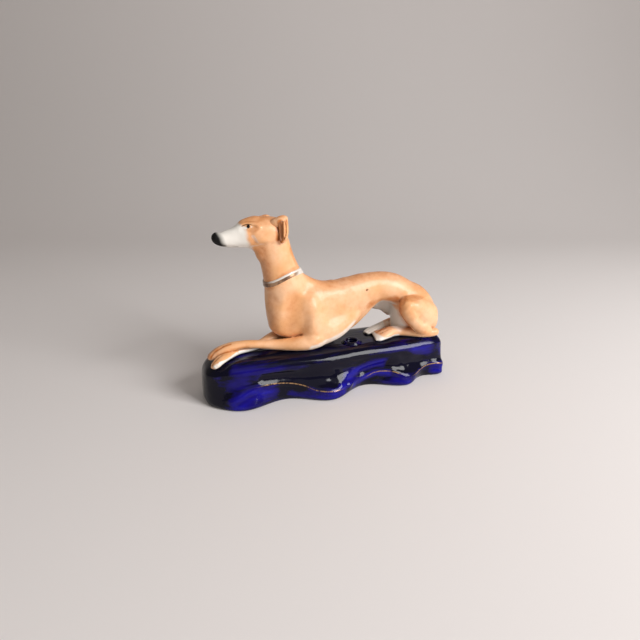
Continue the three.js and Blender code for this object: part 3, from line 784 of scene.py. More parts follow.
def swollen(points, line, radius):
    """How much of a rounded ridge along the line reaches each point: 1 on it, 0 from the radius on."""
    return np.clip(1 - (line_distances(points, line) / radius) ** 2, 0, 1) ** 2


def covered(points, line, radius, hard):
    """How much of a brush stroke reaches each point: the harder, the further it stays whole."""
    return np.clip(hard * (1 - line_distances(points, line) / radius), 0, 1)


def rising(values, low, high):
    return np.clip((values - low) / (high - low), 0, 1)


def dog_places(piece):
    """Every point of the piece in mm above the mound's top, as the lists of strokes are."""
    return (per_point(piece) - np.array(on_dog(0, 0, 0))) / MM


def moved(piece, rise):
    """Moves each point out along its normal, by a rise in mm."""
    points = per_point(piece) + per_point(piece, "normal") * rise[:, None] * MM
    piece.data.vertices.foreach_set("co", points.ravel())
    piece.data.update()


def both_sides(strokes):
    return strokes + [(*rest, mirrored(line)) for *rest, line in strokes]


def worked_over(piece, strokes):
    """Raises and presses the clay along strokes of the modelling tool."""
    places = dog_places(piece)
    rise = np.zeros(len(places))
    for radius, height, line in strokes:
        rise += height * swollen(places, line, radius)
    moved(piece, rise)


def hollows_of(piece, rounds=16, full=0.3):
    """How hollow the clay is at each point: 1 in a crease, -1 on an edge, 0 where it is even."""
    ends = np.empty(len(piece.data.edges) * 2, int)
    piece.data.edges.foreach_get("vertices", ends)
    first, second = ends[::2], ends[1::2]
    points = per_point(piece)
    count = np.maximum(np.bincount(ends, minlength=len(points)), 1)
    even = points.copy()
    for _ in range(rounds):
        for axis in range(3):
            here = even[:, axis]
            total = np.bincount(first, here[second], len(points))
            total += np.bincount(second, here[first], len(points))
            even[:, axis] = total / count
    return np.clip(((even - points) * per_point(piece, "normal")).sum(axis=1) / (full * MM), -1, 1)


def stored(piece, name, *channels):
    """Stores four values for each point as a colour attribute, in place of one of the same name."""
    attributes = piece.data.attributes
    if name in attributes:
        attributes.remove(attributes[name])
    layer = attributes.new(name, "FLOAT_COLOR", "POINT")
    layer.data.foreach_set("color", np.stack(channels, axis=1).ravel())


def brushed_on(piece, brush, muzzle=False, white=0):
    """Stores the enamels: how white, how thickly fawn and how black the piece is, and its hollows as the
    alpha. Some strokes store painted shade or a painted highlight in place of enamel.
    """
    places, normals = dog_places(piece), per_point(piece, "normal")
    laid = {enamel: np.zeros(len(places)) for enamel in ("white", "deep", "black")}
    for enamel, strength, radius, line in brush:
        laid[enamel] = np.maximum(laid[enamel], strength * covered(places, line, radius, ENAMEL_HARD))
    laid["white"] = np.maximum(laid["white"], white)
    x, z = places[:, 0], places[:, 2]
    if muzzle:
        for enamel, edge, blend in PAINTED_EDGES:
            limit = np.interp(z, [height for _, height in edge], [place for place, _ in edge])
            inside = np.clip((limit - x) / blend + 0.5, 0, 1) * (z > edge[0][1] - EDGE_FOOT)
            laid[enamel] = np.maximum(laid[enamel], inside * (x < HEAD_MIDDLE))
    on_top = rising(normals[:, 2], *FACES_UP) * (z > BACK_HEIGHT)
    laid["deep"] = np.maximum(laid["deep"], DEEP_ON_TOP * on_top)
    laid["white"] = np.maximum(laid["white"], WHITE_BELOW * rising(-normals[:, 2], *FACES_DOWN))
    stored(piece, "enamel", laid["white"], laid["deep"], laid["black"], (hollows_of(piece) + 1) / 2)


def smoothed_at(piece, spots, repeat):
    """Smooths the clay inside each spot: a place on the dog and a radius, in mm."""
    points = per_point(piece)
    near = np.zeros(len(points), bool)
    for x, y, z, radius in spots:
        near |= np.linalg.norm(points - np.array(on_dog(x, y, z)), axis=1) < radius * MM
    select_only(piece)
    bpy.context.tool_settings.mesh_select_mode = (True, False, False)
    bpy.ops.object.mode_set(mode="EDIT")
    bpy.ops.mesh.select_all(action="DESELECT")
    bpy.ops.object.mode_set(mode="OBJECT")
    piece.data.vertices.foreach_set("select", near)
    bpy.ops.object.mode_set(mode="EDIT")
    bpy.ops.mesh.vertices_smooth(factor=0.5, repeat=repeat)
    bpy.ops.object.mode_set(mode="OBJECT")


def hem_swing(x, lobes):
    """How far out the hem swings at x: 1 on a lobe and -1 midway between two."""
    after = next(i for i, lobe in enumerate(lobes) if lobe * MM > x)
    low, high = lobes[after - 1] * MM, lobes[after] * MM
    return math.cos(2 * math.pi * (x - low) / (high - low))


def mound_ring(sizes, level, grow=0, height=None, sides=300):
    """The mound's outline at one level: a long rounded block with a waving hem and a drooping front end."""
    share, side, end, wave, lift = level
    height = share * sizes.mound_height if height is None else height
    ring = []
    for s in range(sides):
        turn = 2 * math.pi * s / sides
        along = math.cos(turn)
        corner = FRONT_CORNER if along < 0 else REAR_CORNER
        across = math.copysign((1 - abs(along) ** corner) ** (1 / corner), math.sin(turn))
        x = (sizes.mound_length / 2 - end * MM + grow) * along
        swing = hem_swing(x, NEAR_LOBES if across < 0 else FAR_LOBES)
        reach = sizes.hem_wave * wave * (1 - HEM_FADE * (2 * x / sizes.mound_length) ** 2) * swing
        y = (sizes.mound_width / 2 - MOUND_TAPER * x - side * MM + grow + reach) * across
        from_front = min(1, (x + sizes.mound_length / 2) / DROOP_LENGTH)
        droop = sizes.front_droop * (1 - from_front) ** 2 * height / sizes.mound_height
        rise = lift * sizes.hem_lift * (1 - swing) / 2
        ring.append(np.array((x, y, height - droop + rise)))
    return ring


def smooth_levels(levels, steps):
    levels = [np.array(level, float) for level in levels]
    count = (len(levels) - 1) * steps
    return [curve_point(levels, number / count) for number in range(count + 1)]


def mound_block(sizes, grow):
    """The mound as one solid block, for trimming what stands on it."""
    rings = []
    for level in MOUND_LEVELS:
        rings.append(mound_ring(sizes, level, grow, level[0] * sizes.mound_height + grow))
    return loft("block", rings)


def inner_ring(sizes, level, height):
    """A level of the inside: the outside's, moved in by the wall's thickness, at another height."""
    share, side, end, wave, _ = level
    wall = sizes.mound_wall / MM
    return mound_ring(sizes, (share, side + wall, end + wall, wave, 0), 0, height)


def laid_on(places, strokes):
    """How strongly soft strokes of a brush cover each point, from 0 to 1."""
    cover = np.zeros(len(places))
    for strength, radius, line in strokes:
        cover = np.maximum(cover, strength * covered(places, line, radius, GLAZE_HARD))
    return cover


def folded(mound):
    """Works the folds into the mound's sides, and stores where the glaze is thin, with painted light, and
    where it pools, with painted shade.
    """
    places, normals = per_point(mound) / MM, per_point(mound, "normal")
    flat = places[:, [0, 2]]
    rise, outer = np.zeros(len(places)), np.zeros(len(places))
    for side, folds in ((-1, NEAR_FOLDS), (1, FAR_FOLDS)):
        facing = np.clip(side * normals[:, 1] * 2, 0, 1) * (side * places[:, 1] > 0)
        outer = np.maximum(outer, facing)
        for radius, height, line in folds:
            rise += height * facing * swollen(flat, line, radius)
    thin, pooled_and_shaded = laid_on(flat, THIN_GLAZE_AND_LIGHT) * outer, laid_on(flat, POOLED_GLAZE_AND_SHADE)
    moved(mound, rise)
    softened(mound, 3)
    stored(mound, "glaze", thin, pooled_and_shaded, outer, (hollows_of(mound, 10) + 1) / 2)


def far_ear(stations):
    """The right ear is a mirrored left one that sits further forward and is tipped back."""
    ahead, up = FAR_EAR_MOVE
    tipped = []
    for x, y, z, *rest in mirrored(stations):
        tipped.append((x + ahead, y, z + up - FAR_EAR_TILT * (x - FAR_EAR_PIVOT), *rest))
    return tipped


def collar_middle(x):
    return np.interp(x, [place for place, _ in COLLAR_LINE], [height for _, height in COLLAR_LINE])


def limb_cutter(forms, grow, across):
    """A closed tool that takes a limb out of the clay with a little of the clay around it."""
    made = [clay_form("form", form, grow=grow, steps=3, sides=24, across=across) for form in forms]
    return remeshed(joined("cutter", *made), CUTTER_GRAIN)


def seamed(piece, whole):
    """Gives the piece the whole lump's shading and paint, so that a cut's edge doesn't show."""
    return worked(
        piece,
        "DATA_TRANSFER",
        object=whole,
        use_loop_data=True,
        data_types_loops={"CUSTOM_NORMAL"},
        loop_mapping="POLYINTERP_NEAREST",
        use_vert_data=True,
        data_types_verts={"COLOR_VERTEX"},
        vert_mapping="POLYINTERP_NEAREST",
    )


def finished(piece, stands_for, material):
    piece.data.materials.clear()
    piece.data.materials.append(material)
    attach(piece, "root")
    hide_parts(stands_for)


def glazed_fawn(piece, name, context):
    finished(piece, name, fawn_enamel(context.scene.inkwell_colours))


def cut_out(name, dog, tool, whole, context):
    """Makes what lies inside the tool a piece of its own."""
    piece = largest_part(cut(copied(dog, name), tool, "INTERSECT"))
    glazed_fawn(seamed(piece, whole), name, context)


def wired(tree, made, inputs):
    """Gives a node its inputs: each is a value, a colour, or another node's output to link."""
    for name, value in inputs.items():
        if isinstance(value, bpy.types.NodeSocket):
            tree.links.new(value, made.inputs[name])
        else:
            made.inputs[name].default_value = (*value, 1) if isinstance(value, Color) else value


def node(tree, kind, inputs=None, **settings):
    """Adds one shader node, with its settings and its inputs."""
    made = tree.nodes.new(kind)
    for name, value in settings.items():
        setattr(made, name, value)
    wired(tree, made, inputs or {})
    return made


def new_material(name):
    """A material, its node tree, its surface shader, and the place on the object that is shaded."""
    material = bpy.data.materials.new(name)
    material.use_nodes = True
    tree = material.node_tree
    place = node(tree, "ShaderNodeTexCoord").outputs["Object"]
    return material, tree, tree.nodes["Principled BSDF"], place


def mixed(tree, factor, first, second):
    """One colour into another by a factor: each may be a fixed colour or another node's output."""
    inputs = {MIX_FACTOR: factor, MIX_FIRST: first, MIX_SECOND: second}
    return node(tree, "ShaderNodeMix", inputs, data_type="RGBA").outputs[MIX_RESULT]


def ranged(tree, value, low, high, out_low=0, out_high=1, ease="SMOOTHSTEP"):
    """A value spread from one range to another and kept inside it."""
    inputs = {"Value": value, "From Min": low, "From Max": high, "To Min": out_low, "To Max": out_high}
    return node(tree, "ShaderNodeMapRange", inputs, interpolation_type=ease).outputs["Result"]


def computed(tree, operation, first, second=0):
    return node(tree, "ShaderNodeMath", {0: first, 1: second}, operation=operation).outputs["Value"]


def vector(tree, operation, first, second):
    made = node(tree, "ShaderNodeVectorMath", {0: first, 1: second}, operation=operation)
    return made.outputs["Vector"]


def vector_length(tree, first):
    return node(tree, "ShaderNodeVectorMath", {0: first}, operation="LENGTH").outputs["Value"]


def painted_on(tree, name):
    """A colour attribute of the piece: its red, green and blue, and its alpha."""
    attribute = node(tree, "ShaderNodeAttribute", attribute_name=name)
    laid = node(tree, "ShaderNodeSeparateColor", {0: attribute.outputs["Color"]}).outputs
    return laid, attribute.outputs["Alpha"]


def noise(tree, place, size, detail=3, roughness=0.5):
    """A noise whose patches are about as large as size, in metres."""
    inputs = {"Vector": place, "Scale": 1 / size, "Detail": detail, "Roughness": roughness}
    return node(tree, "ShaderNodeTexNoise", inputs).outputs["Fac"]


def bumped(tree, surface, height, distance, after=None, strength=1):
    """Roughens the surface by a height, on top of another bump if there is one."""
    inputs = {"Height": height, "Distance": distance, "Strength": strength}
    if after:
        inputs["Normal"] = after
    made = node(tree, "ShaderNodeBump", inputs)
    tree.links.new(made.outputs["Normal"], surface.inputs["Normal"])
    return made.outputs["Normal"]


def eye_masks(tree, place):
    """The painted pupil and the lid's thin arc, the same on both sides of the head."""
    split = node(tree, "ShaderNodeSeparateXYZ", {0: place}).outputs
    near = computed(tree, "ABSOLUTE", split["Y"])
    either_side = node(tree, "ShaderNodeCombineXYZ", {"X": split["X"], "Y": near, "Z": split["Z"]})
    from_pupil = vector(tree, "SUBTRACT", either_side.outputs["Vector"], on_dog(*PUPIL))
    pupil = vector_length(tree, vector(tree, "MULTIPLY", from_pupil, PUPIL_STRETCH))
    from_centre = vector(tree, "SUBTRACT", place, on_dog(*LID_CENTRE))
    arc = vector_length(tree, vector(tree, "MULTIPLY", from_centre, (1, 0, 1)))
    from_arc = computed(tree, "ABSOLUTE", computed(tree, "SUBTRACT", arc, LID_RADIUS))
    high = ranged(tree, split["Z"], *(on_dog(0, 0, z).z for z in LID_FOOT))
    lid = computed(tree, "MULTIPLY", ranged(tree, from_arc, *LID_EDGE), high)
    rear = ranged(tree, split["X"], *(on_dog(x, 0, 0).x for x in LID_REAR), 0.15, 0.95)
    return ranged(tree, pupil, *PUPIL_EDGE), computed(tree, "MULTIPLY", lid, rear)


def fawn_enamel(colours):
    """Fawn enamel brushed over white clay, under a clear lead glaze: a soft body under a hard gloss."""
    if "Fawn enamel" in bpy.data.materials:
        return bpy.data.materials["Fawn enamel"]
    material, tree, surface, place = new_material("Fawn enamel")
    laid, hollow = painted_on(tree, "enamel")
    blotches = noise(tree, place, 15 * MM, 4)
    dabs = noise(tree, place, 3.4 * MM, 4, 0.6)
    specks = ranged(tree, noise(tree, place, 0.8 * MM, 2), 0.68, 0.76)
    fawn = mixed(tree, ranged(tree, blotches, 0.35, 0.7), colours.fawn_thin, colours.fawn)
    fawn = mixed(tree, ranged(tree, dabs, 0.4, 0.8, 0, 0.22), fawn, colours.fawn_deep_and_shade)
    # The green channel is the thicker enamel together with the painted shade of some strokes.
    deep = computed(tree, "MULTIPLY", laid["Green"], ranged(tree, dabs, 0.25, 0.75, 0.6, 1.1))
    fawn = mixed(tree, deep, fawn, colours.fawn_deep_and_shade)
    fawn = mixed(tree, ranged(tree, hollow, 0.54, 1, 0, 0.55), fawn, colours.fawn_pooled)
    fawn = mixed(tree, computed(tree, "MULTIPLY", specks, 0.25), fawn, colours.fawn_pooled)
    ragged = computed(tree, "ADD", laid["Red"], ranged(tree, dabs, 0.2, 0.8, -0.12, 0.12))
    painted = mixed(tree, ranged(tree, ragged, 0.15, 0.85), fawn, colours.cream)
    pupil, lid = eye_masks(tree, place)
    black = computed(tree, "MAXIMUM", laid["Blue"], computed(tree, "MAXIMUM", pupil, lid))
    painted = mixed(tree, black, painted, colours.enamel_black)
    look = {"Base Color": painted, "Roughness": 0.55, "Coat Roughness": 0.2}
    look["Coat Weight"] = ranged(tree, black, 0, 1, 0.32, 0.12)
    look["Specular IOR Level"] = ranged(tree, black, 0, 1, 0.28, 0.18)
    wired(tree, surface, look)
    uneven_clay = bumped(tree, surface, noise(tree, place, 9 * MM, 2), 0.5 * MM, strength=0.5)
    bumped(tree, surface, dabs, 0.06 * MM, uneven_clay, 0.4)
    return material


def curve_over_length(tree, along, line, top):
    """A smooth curve of heights over places in mm along the mound, for the shader."""
    made = node(tree, "ShaderNodeFloatCurve", {"Value": along})
    points = made.mapping.curves[0].points
    reach = line[-1][0] - line[0][0]
    spots = [((place - line[0][0]) / reach, height / top) for place, height in line]
    while len(points) < len(spots):
        points.new(0.5, 0.5)
    for point, spot in zip(points, spots):
        point.location = spot
    made.mapping.update()
    return computed(tree, "MULTIPLY", made.outputs["Value"], top)


def cobalt_glaze(colours):
    """Cobalt in a lead glaze over white clay: nearly black where it pools, bright where it runs thin. Its
    masks also hold painted light on the folds and along the hem, and painted shade in the coves and at the
    front end.

    A worn gilt line follows the crest of the folds on the near side.
    """
    if "Cobalt glaze" in bpy.data.materials:
        return bpy.data.materials["Cobalt glaze"]
    material, tree, surface, place = new_material("Cobalt glaze")
    laid, hollow = painted_on(tree, "glaze")
    drawn_out = node(tree, "ShaderNodeMapping", {"Vector": place, "Scale": DRAWN_OUT}).outputs["Vector"]
    pools = noise(tree, drawn_out, 9 * MM, 3, 0.5)
    flow = noise(tree, drawn_out, 2.2 * MM, 3, 0.5)
    ridge = ranged(tree, hollow, 0.5, 0.2, 0, 0.25)
    # Red holds the thin glaze with painted light on the folds and the hem; green holds the gathered glaze
    # with painted shade in the coves and at the front end.
    thin = computed(tree, "ADD", computed(tree, "MULTIPLY", laid["Red"], 0.85), ridge)
    thin = computed(tree, "ADD", thin, ranged(tree, pools, 0.35, 0.8, -0.12, 0.36))
    thin = computed(tree, "ADD", thin, ranged(tree, flow, 0.25, 0.75, -0.16, 0.16))
    thin = computed(tree, "SUBTRACT", thin, computed(tree, "MULTIPLY", laid["Green"], 0.6))
    blue = mixed(tree, ranged(tree, thin, 0.05, 0.6), colours.cobalt_deep, colours.cobalt)
    blue = mixed(tree, ranged(tree, thin, 0.5, 1.2), blue, colours.cobalt_thin)
    split = node(tree, "ShaderNodeSeparateXYZ", {0: place}).outputs
    along = ranged(tree, split["X"], *LINE_REACH, ease="LINEAR")
    line = curve_over_length(tree, along, GILT_LINE, LINE_TOP)
    left = curve_over_length(tree, along, GILT_LEFT, 1)
    height = computed(tree, "MULTIPLY", split["Z"], 1 / MM)
    from_line = computed(tree, "ABSOLUTE", computed(tree, "SUBTRACT", height, line))
    near_side = ranged(tree, split["Y"], *NEAR_SIDE)
    worn = ranged(tree, noise(tree, place, 1.6 * MM, 4, 0.65), 0.36, 0.6, 0.05, 1)
    gilt = ranged(tree, from_line, *LINE_EDGE)
    for part in (left, near_side, worn):
        gilt = computed(tree, "MULTIPLY", gilt, part)
    look = {"Specular IOR Level": 0.24}
    look["Base Color"] = mixed(tree, gilt, blue, colours.gilt_line)
    look["Metallic"] = computed(tree, "MULTIPLY", gilt, 0.6)
    look["Roughness"] = ranged(tree, gilt, 0, 1, 0.12, 0.3)
    wired(tree, surface, look)
    uneven = bumped(tree, surface, pools, 0.7 * MM, strength=0.6)
    bumped(tree, surface, flow, 0.03 * MM, uneven, 0.5)
    return material


def worn_gilt_with_painted_reflection(colours):
    """Thin fired gilding, rubbed through to the white glaze on the collar's upper edge and at its back,
    where the cream is also a painted reflection of the light.
    """
    material, tree, surface, place = new_material("Worn gilt")
    laid, hollow = painted_on(tree, "enamel")
    rubs = noise(tree, place, 3 * MM, 4, 0.55)
    gilt = mixed(tree, ranged(tree, rubs, 0.35, 0.7), colours.gilt, colours.gilt_dark)
    # Bare is the rubbed gilt together with the painted reflection on the collar's upper edge and back.
    bare = computed(tree, "ADD", laid["Red"], ranged(tree, hollow, 0.46, 0.2, 0, 0.12))
    bare = computed(tree, "ADD", bare, ranged(tree, rubs, 0.3, 0.7, -0.1, 0.1))
    bare = ranged(tree, bare, 0.3, 0.75, 0, 0.8)
    look = {"Coat Weight": 0.5, "Coat Roughness": 0.15}
    look["Base Color"] = mixed(tree, bare, gilt, colours.cream)
    look["Metallic"] = ranged(tree, bare, 0, 1, 0.45, 0)
    look["Roughness"] = ranged(tree, rubs, 0.3, 0.7, 0.28, 0.42)
    wired(tree, surface, look)
    bumped(tree, surface, rubs, 0.08 * MM, strength=0.5)
    return material


def white_glaze(colours):
    """Clear lead glaze over white clay, stained blue-black by old ink low in the cup."""
    material, tree, surface, place = new_material("White glaze")
    height = node(tree, "ShaderNodeSeparateXYZ", {0: place}).outputs["Z"]
    clouds = noise(tree, place, 3 * MM, 4)
    tide = computed(tree, "ADD", height, computed(tree, "MULTIPLY", clouds, 4 * MM))
    stained = ranged(tree, tide, *INK_TIDE, 0, 0.9)
    cream = mixed(tree, ranged(tree, clouds, 0.4, 0.7, 0, 0.3), colours.cream, colours.bare_clay)
    cream = mixed(tree, stained, cream, colours.cobalt_deep)
    wired(tree, surface, {"Base Color": cream, "Roughness": 0.12})
    bumped(tree, surface, clouds, 0.1 * MM, strength=0.4)
    return material


def bare_clay(colours):
    """Fired clay without a glaze: chalky, finely pitted, a little grimy from the desks it stood on."""
    material, tree, surface, place = new_material("Bare clay")
    grain = noise(tree, place, 0.7 * MM, 5, 0.7)
    grime = noise(tree, place, 11 * MM, 4, 0.6)
    clay = mixed(tree, ranged(tree, grime, 0.45, 0.75, 0, 0.6), colours.bare_clay, colours.grime)
    clay = mixed(tree, ranged(tree, grain, 0.6, 0.75, 0, 0.5), clay, colours.grime)
    wired(tree, surface, {"Base Color": clay, "Roughness": 0.88})
    bumped(tree, surface, grain, 0.15 * MM, strength=0.6)
    return material


def plain_paper(colour):
    """The even pale paper of the sweep that the inkwell is shown on."""
    material, tree, surface, place = new_material("Paper")
    wired(tree, surface, {"Base Color": colour, "Roughness": 0.8})
    bumped(tree, surface, noise(tree, place, 1.2 * MM, 3), 0.03 * MM, strength=0.5)
    return material


class INKWELL_OT_mound(bpy.types.Operator):
    """Models the hollow mound, with the bore of its mouth"""

    bl_idname = "inkwell.mound"
    bl_label = "Model the mound"

    def execute(self, context):
        sizes = context.scene.inkwell_sizes
        top = np.array(MOUND_LEVELS[0], float)
        crown = [top + np.array((0, inset, inset, 0, 0)) for inset in TOP_INSETS]
        outside = [mound_ring(sizes, level) for level in crown + smooth_levels(MOUND_LEVELS, 5)]
        ceiling = sizes.mound_height - sizes.mound_wall
        inside = [inner_ring(sizes, MOUND_LEVELS[-2], 0)]
        for level in reversed(INNER_LEVELS):
            height = min(level[0] * sizes.mound_height, ceiling - CEILING_CURVE)
            inside.append(inner_ring(sizes, level, height))
        inside.append(inner_ring(sizes, MOUND_LEVELS[2], ceiling))
        mound = loft("mound_shell", outside + inside)
        bore = primitive(
            bpy.ops.mesh.primitive_cylinder_add,
            vertices=64,
            radius=sizes.mouth_bore / 2,
            depth=4 * sizes.mound_wall,
            location=(MOUTH.x, MOUTH.y, sizes.mound_height),
        )
        cut(mound, bore, "DIFFERENCE")
        removed(bore)
        remeshed(mound, sizes.mound_grain)
        softened(mound, 6)
        folded(mound)
        finished(mound, "mound_shell", cobalt_glaze(context.scene.inkwell_colours))
        return {"FINISHED"}


class INKWELL_OT_mouth_rim(bpy.types.Operator):
    """Spins the rolled rim round the mouth"""

    bl_idname = "inkwell.mouth_rim"
    bl_label = "Spin the mouth's rim"

    def execute(self, context):
        sizes = context.scene.inkwell_sizes
        rim = primitive(
            bpy.ops.mesh.primitive_circle_add, vertices=28, radius=sizes.rim_roll / 2, fill_type="NOTHING"
        )
        rim.name = "mouth_rim"
        middle = (sizes.mouth_bore + sizes.rim_roll) / 2
        tall = sizes.rim_height + RIM_SEAT + SLIP
        for corner in rim.data.vertices:
            turn = math.atan2(corner.co.y, corner.co.x)
            out, up = math.cos(turn), math.sin(turn)
            spread = out * sizes.rim_roll / 2 * (RIM_SKIRT if up < 0 and out > 0 else 1)
            corner.co = (MOUTH.x + middle + spread, MOUTH.y, MOUND_TOP - RIM_SEAT + tall * (1 + up) / 2)
        bpy.ops.object.mode_set(mode="EDIT")
        bpy.ops.mesh.select_all(action="SELECT")
        bpy.ops.mesh.spin(
            steps=72, angle=2 * math.pi, center=(MOUTH.x, MOUTH.y, 0), axis=(0, 0, 1), use_auto_merge=True
        )
        bpy.ops.mesh.select_all(action="SELECT")
        bpy.ops.mesh.remove_doubles(threshold=0.001 * MM)
        bpy.ops.mesh.normals_make_consistent(inside=False)
        bpy.ops.object.mode_set(mode="OBJECT")
        bpy.ops.object.shade_smooth()
        finished(rim, "mouth_rim", cobalt_glaze(context.scene.inkwell_colours))
        return {"FINISHED"}


class INKWELL_OT_clay_dog(bpy.types.Operator):
    """Models the whole dog as one lump of clay"""

    bl_idname = "inkwell.clay_dog"
    bl_label = "Model the clay dog"

    def execute(self, context):
        sizes = context.scene.inkwell_sizes
        core = joined("clay_dog", *(clay_form("form", form) for form in CORE_FORMS))
        remeshed(core, 2 * sizes.clay_grain)
        for rounds, spots in CORE_JOINS:
            smoothed_at(core, spots, rounds)
        forelegs = [clay_form("form", form) for form in (LEFT_FORELEG, RIGHT_FORELEG)]
        hind_legs = [clay_form("form", form) for form in NEAR_HIND_LEG + FAR_HIND_LEG]
        tail = clay_form("form", TAIL, across=ALONG_Z)
        dog = joined("clay_dog", core, *forelegs, *hind_legs, tail)
        remeshed(dog, sizes.clay_grain)
        for rounds, spots in LIMB_JOINS:
            smoothed_at(dog, spots, rounds)
        softened(dog, 8)
        worked_over(dog, both_sides(PAIRED_STROKES) + OWN_STROKES)
        softened(dog, 2)
        seat = mound_block(sizes, -SEAT_DEPTH)
        cut(dog, seat, "DIFFERENCE")
        removed(seat)
        brushed_on(dog, both_sides(PAIRED_BRUSH) + OWN_BRUSH, muzzle=True)
        return {"FINISHED"}


class INKWELL_OT_ears(bpy.types.Operator):
    """Models both ears, each with its hollow and fold"""

    bl_idname = "inkwell.ears"
    bl_label = "Model the ears"

    def execute(self, context):
        sizes = context.scene.inkwell_sizes
        for name, turn in (("left_ear", list), ("right_ear", far_ear)):
            ear = clay_form(name, turn(EAR), sides=24)
            hollow = clay_form("hollow", turn(EAR_HOLLOW), sides=16)
            cut(ear, hollow, "DIFFERENCE")
            removed(hollow)
            added = [clay_form("added", turn(form), sides=16) for form in (EAR_FOLD, EAR_ROOT)]
            ear = joined(name, ear, *added)
            remeshed(ear, sizes.ear_grain)
            softened(ear, 5)
            brushed_on(ear, [(*rest, turn(line)) for *rest, line in EAR_BRUSH])
            glazed_fawn(ear, name, context)
        return {"FINISHED"}


class INKWELL_OT_collar(bpy.types.Operator):
    """Takes the collar's band off the clay neck"""

    bl_idname = "inkwell.collar"
    bl_label = "Model the collar"

    def execute(self, context):
        dog = bpy.data.objects["clay_dog"]
        collar = worked(copied(dog, "collar"), "DISPLACE", strength=COLLAR_THICKNESS, mid_level=0)
        slab = primitive(bpy.ops.mesh.primitive_grid_add, x_subdivisions=40, y_subdivisions=2, size=1)
        front, back = COLLAR_LINE[0][0], COLLAR_LINE[-1][0]
        for vertex in slab.data.vertices:
            x = front + (vertex.co.x + 0.5) * (back - front)
            vertex.co = on_dog(x, NECK_CLEAR * vertex.co.y, collar_middle(x))
        worked(slab, "SOLIDIFY", thickness=COLLAR_HEIGHT, offset=0)
        cut(collar, slab, "INTERSECT")
        removed(slab)
        remeshed(largest_part(collar), COLLAR_GRAIN)
        softened(collar, 5)
        bed = worked(copied(dog, "bed"), "DISPLACE", strength=-COLLAR_SEAT, mid_level=0)
        cut(collar, bed, "DIFFERENCE")
        removed(bed)
        # The cream along the upper edge and at the back is partly rubbed gilt and partly a painted
        # reflection of the light.
        places = dog_places(collar)
        x, above = places[:, 0], places[:, 2] - collar_middle(places[:, 0])
        upper = MOST_RUBBED_AND_LIT * rising(above, 0, 1) * np.maximum(rising(x, *COLLAR_FRONT), LEAST_RUBBED_AND_LIT)
        behind = np.minimum(rising(x, *COLLAR_BACK), MOST_RUBBED_AND_LIT)
        brushed_on(collar, [], white=np.maximum(upper, behind))
        finished(collar, "collar", worn_gilt_with_painted_reflection(context.scene.inkwell_colours))
        return {"FINISHED"}


class INKWELL_OT_cut_pieces(bpy.types.Operator):
    """Cuts the clay dog into its two body halves, its legs and its tail"""

    bl_idname = "inkwell.cut_pieces"
    bl_label = "Cut the dog into its pieces"

    def execute(self, context):
        dog = bpy.data.objects["clay_dog"]
        whole = copied(dog, "whole_dog")
        for name, *limb in LIMBS:
            tool = limb_cutter(*limb)
            cut_out(name, dog, tool, whole, context)
            cut(dog, tool, "DIFFERENCE")
            removed(tool)
        vent = primitive(
            bpy.ops.mesh.primitive_cylinder_add,
            vertices=24,
            radius=context.scene.inkwell_sizes.vent_bore / 2,
            depth=VENT_REACH,
            location=on_dog(*VENT),
            rotation=(math.pi / 2, 0, 0),
        )
        cut(dog, vent, "DIFFERENCE")
        removed(vent)
        for name, side in (("body_left_half", -1), ("body_right_half", 1)):
            tool = primitive(bpy.ops.mesh.primitive_cube_add, size=1, location=(0, side * 0.5, 0))
            bpy.ops.object.transform_apply(location=True, rotation=False, scale=False)
            cut_out(name, dog, tool, whole, context)
            removed(tool)
        removed(dog, whole)
        return {"FINISHED"}


class INKWELL_OT_insides(bpy.types.Operator):
    """Glazes the ink cup and leaves the floor slab bare"""

    bl_idname = "inkwell.insides"
    bl_label = "Finish the cup and the floor slab"

    def execute(self, context):
        colours = context.scene.inkwell_colours
        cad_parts["ink_cup"].material_slots[0].material = white_glaze(colours)
        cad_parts["mound_floor"].material_slots[0].material = bare_clay(colours)
        return {"FINISHED"}


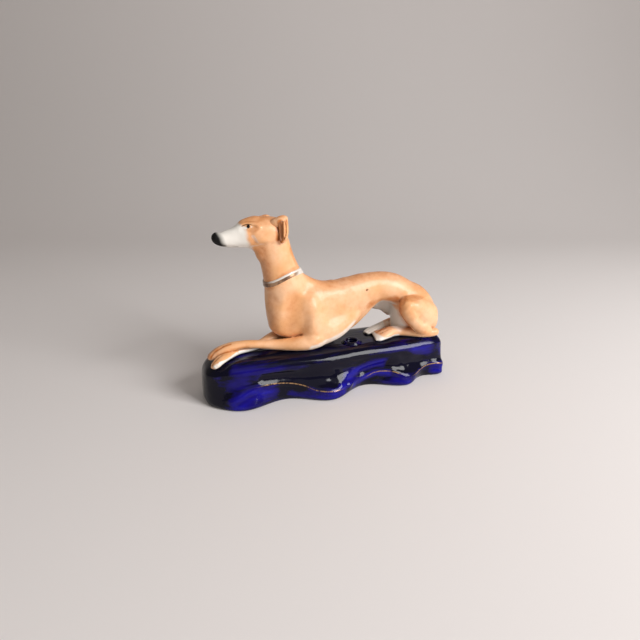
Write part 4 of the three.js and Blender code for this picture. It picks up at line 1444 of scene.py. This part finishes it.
class INKWELL_OT_stage(bpy.types.Operator):
    """Sets the paper floor, the backdrop, the lamps and the camera"""

    bl_idname = "inkwell.stage"
    bl_label = "Set the stage"

    def execute(self, context):
        scene = context.scene
        azimuth, elevation = math.radians(CAMERA_AZIMUTH), math.radians(CAMERA_ELEVATION)
        floor = primitive(bpy.ops.mesh.primitive_grid_add, x_subdivisions=2, y_subdivisions=96, size=1)
        floor.name = "floor"
        for vertex in floor.data.vertices:
            along = vertex.co.y * PAPER_LENGTH
            past = max(0, along - PAPER_BEND)
            turn = min(past / PAPER_RADIUS, math.pi / 2)
            back = min(along, PAPER_BEND) + PAPER_RADIUS * math.sin(turn)
            up = PAPER_RADIUS * (1 - math.cos(turn)) + max(0, past - PAPER_RADIUS * math.pi / 2)
            vertex.co = Matrix.Rotation(azimuth, 3, "Z") @ Vector((vertex.co.x * PAPER_LENGTH, back, up))
        bpy.ops.object.shade_smooth()
        floor.data.materials.append(plain_paper(scene.inkwell_colours.floor))
        camera = bpy.data.cameras.new("camera")
        camera.sensor_width = CAMERA_SENSOR
        camera.lens = CAMERA_LENS
        viewer = bpy.data.objects.new("camera", camera)
        scene.collection.objects.link(viewer)
        level = math.cos(elevation)
        away = Vector((math.sin(azimuth) * level, -math.cos(azimuth) * level, math.sin(elevation)))
        viewer.location = CAMERA_TARGET + away * CAMERA_DISTANCE
        viewer.rotation_euler = away.to_track_quat("Z", "Y").to_euler()
        scene.camera = viewer
        for name, energy, width, height, place in LAMPS:
            lamp = bpy.data.lights.new(name, "AREA")
            lamp.shape = "RECTANGLE"
            lamp.size, lamp.size_y = width, height
            lamp.energy = energy
            softbox = bpy.data.objects.new(name, lamp)
            scene.collection.objects.link(softbox)
            softbox.location = place
            softbox.rotation_euler = (Vector(place) - LAMP_TARGET).to_track_quat("Z", "Y").to_euler()
        world = bpy.data.worlds.new("room")
        world.use_nodes = True
        light = {"Color": ROOM_COLOUR, "Strength": ROOM_LIGHT}
        wired(world.node_tree, world.node_tree.nodes["Background"], light)
        scene.world = world
        scene.view_settings.view_transform = "Standard"
        return {"FINISHED"}


STEPS = [
    INKWELL_OT_stage,
    INKWELL_OT_mound,
    INKWELL_OT_mouth_rim,
    INKWELL_OT_insides,
    INKWELL_OT_clay_dog,
    INKWELL_OT_collar,
    INKWELL_OT_cut_pieces,
    INKWELL_OT_ears,
]


class INKWELL_PT_steps(bpy.types.Panel):
    """Lists the steps in their order, with the sizes and colours that they use"""

    bl_idname = "INKWELL_PT_steps"
    bl_label = "Greyhound Inkwell"
    bl_space_type = "VIEW_3D"
    bl_region_type = "UI"
    bl_category = "Inkwell"

    def draw(self, context):
        for step in STEPS:
            self.layout.operator(step.bl_idname)
        for group in (context.scene.inkwell_sizes, context.scene.inkwell_colours):
            for name in group.__annotations__:
                self.layout.prop(group, name)


CLASSES = [FigureSizes, GlazeColours, *STEPS, INKWELL_PT_steps]


def register():
    for one in CLASSES:
        bpy.utils.register_class(one)
    bpy.types.Scene.inkwell_sizes = PointerProperty(type=FigureSizes)
    bpy.types.Scene.inkwell_colours = PointerProperty(type=GlazeColours)


def unregister():
    del bpy.types.Scene.inkwell_colours
    del bpy.types.Scene.inkwell_sizes
    for one in reversed(CLASSES):
        bpy.utils.unregister_class(one)


def main():
    register()
    bpy.ops.inkwell.stage()
    bpy.ops.inkwell.mound()
    bpy.ops.inkwell.mouth_rim()
    bpy.ops.inkwell.insides()
    bpy.ops.inkwell.clay_dog()
    bpy.ops.inkwell.collar()
    bpy.ops.inkwell.cut_pieces()
    bpy.ops.inkwell.ears()


if __name__ == "__main__":
    main()
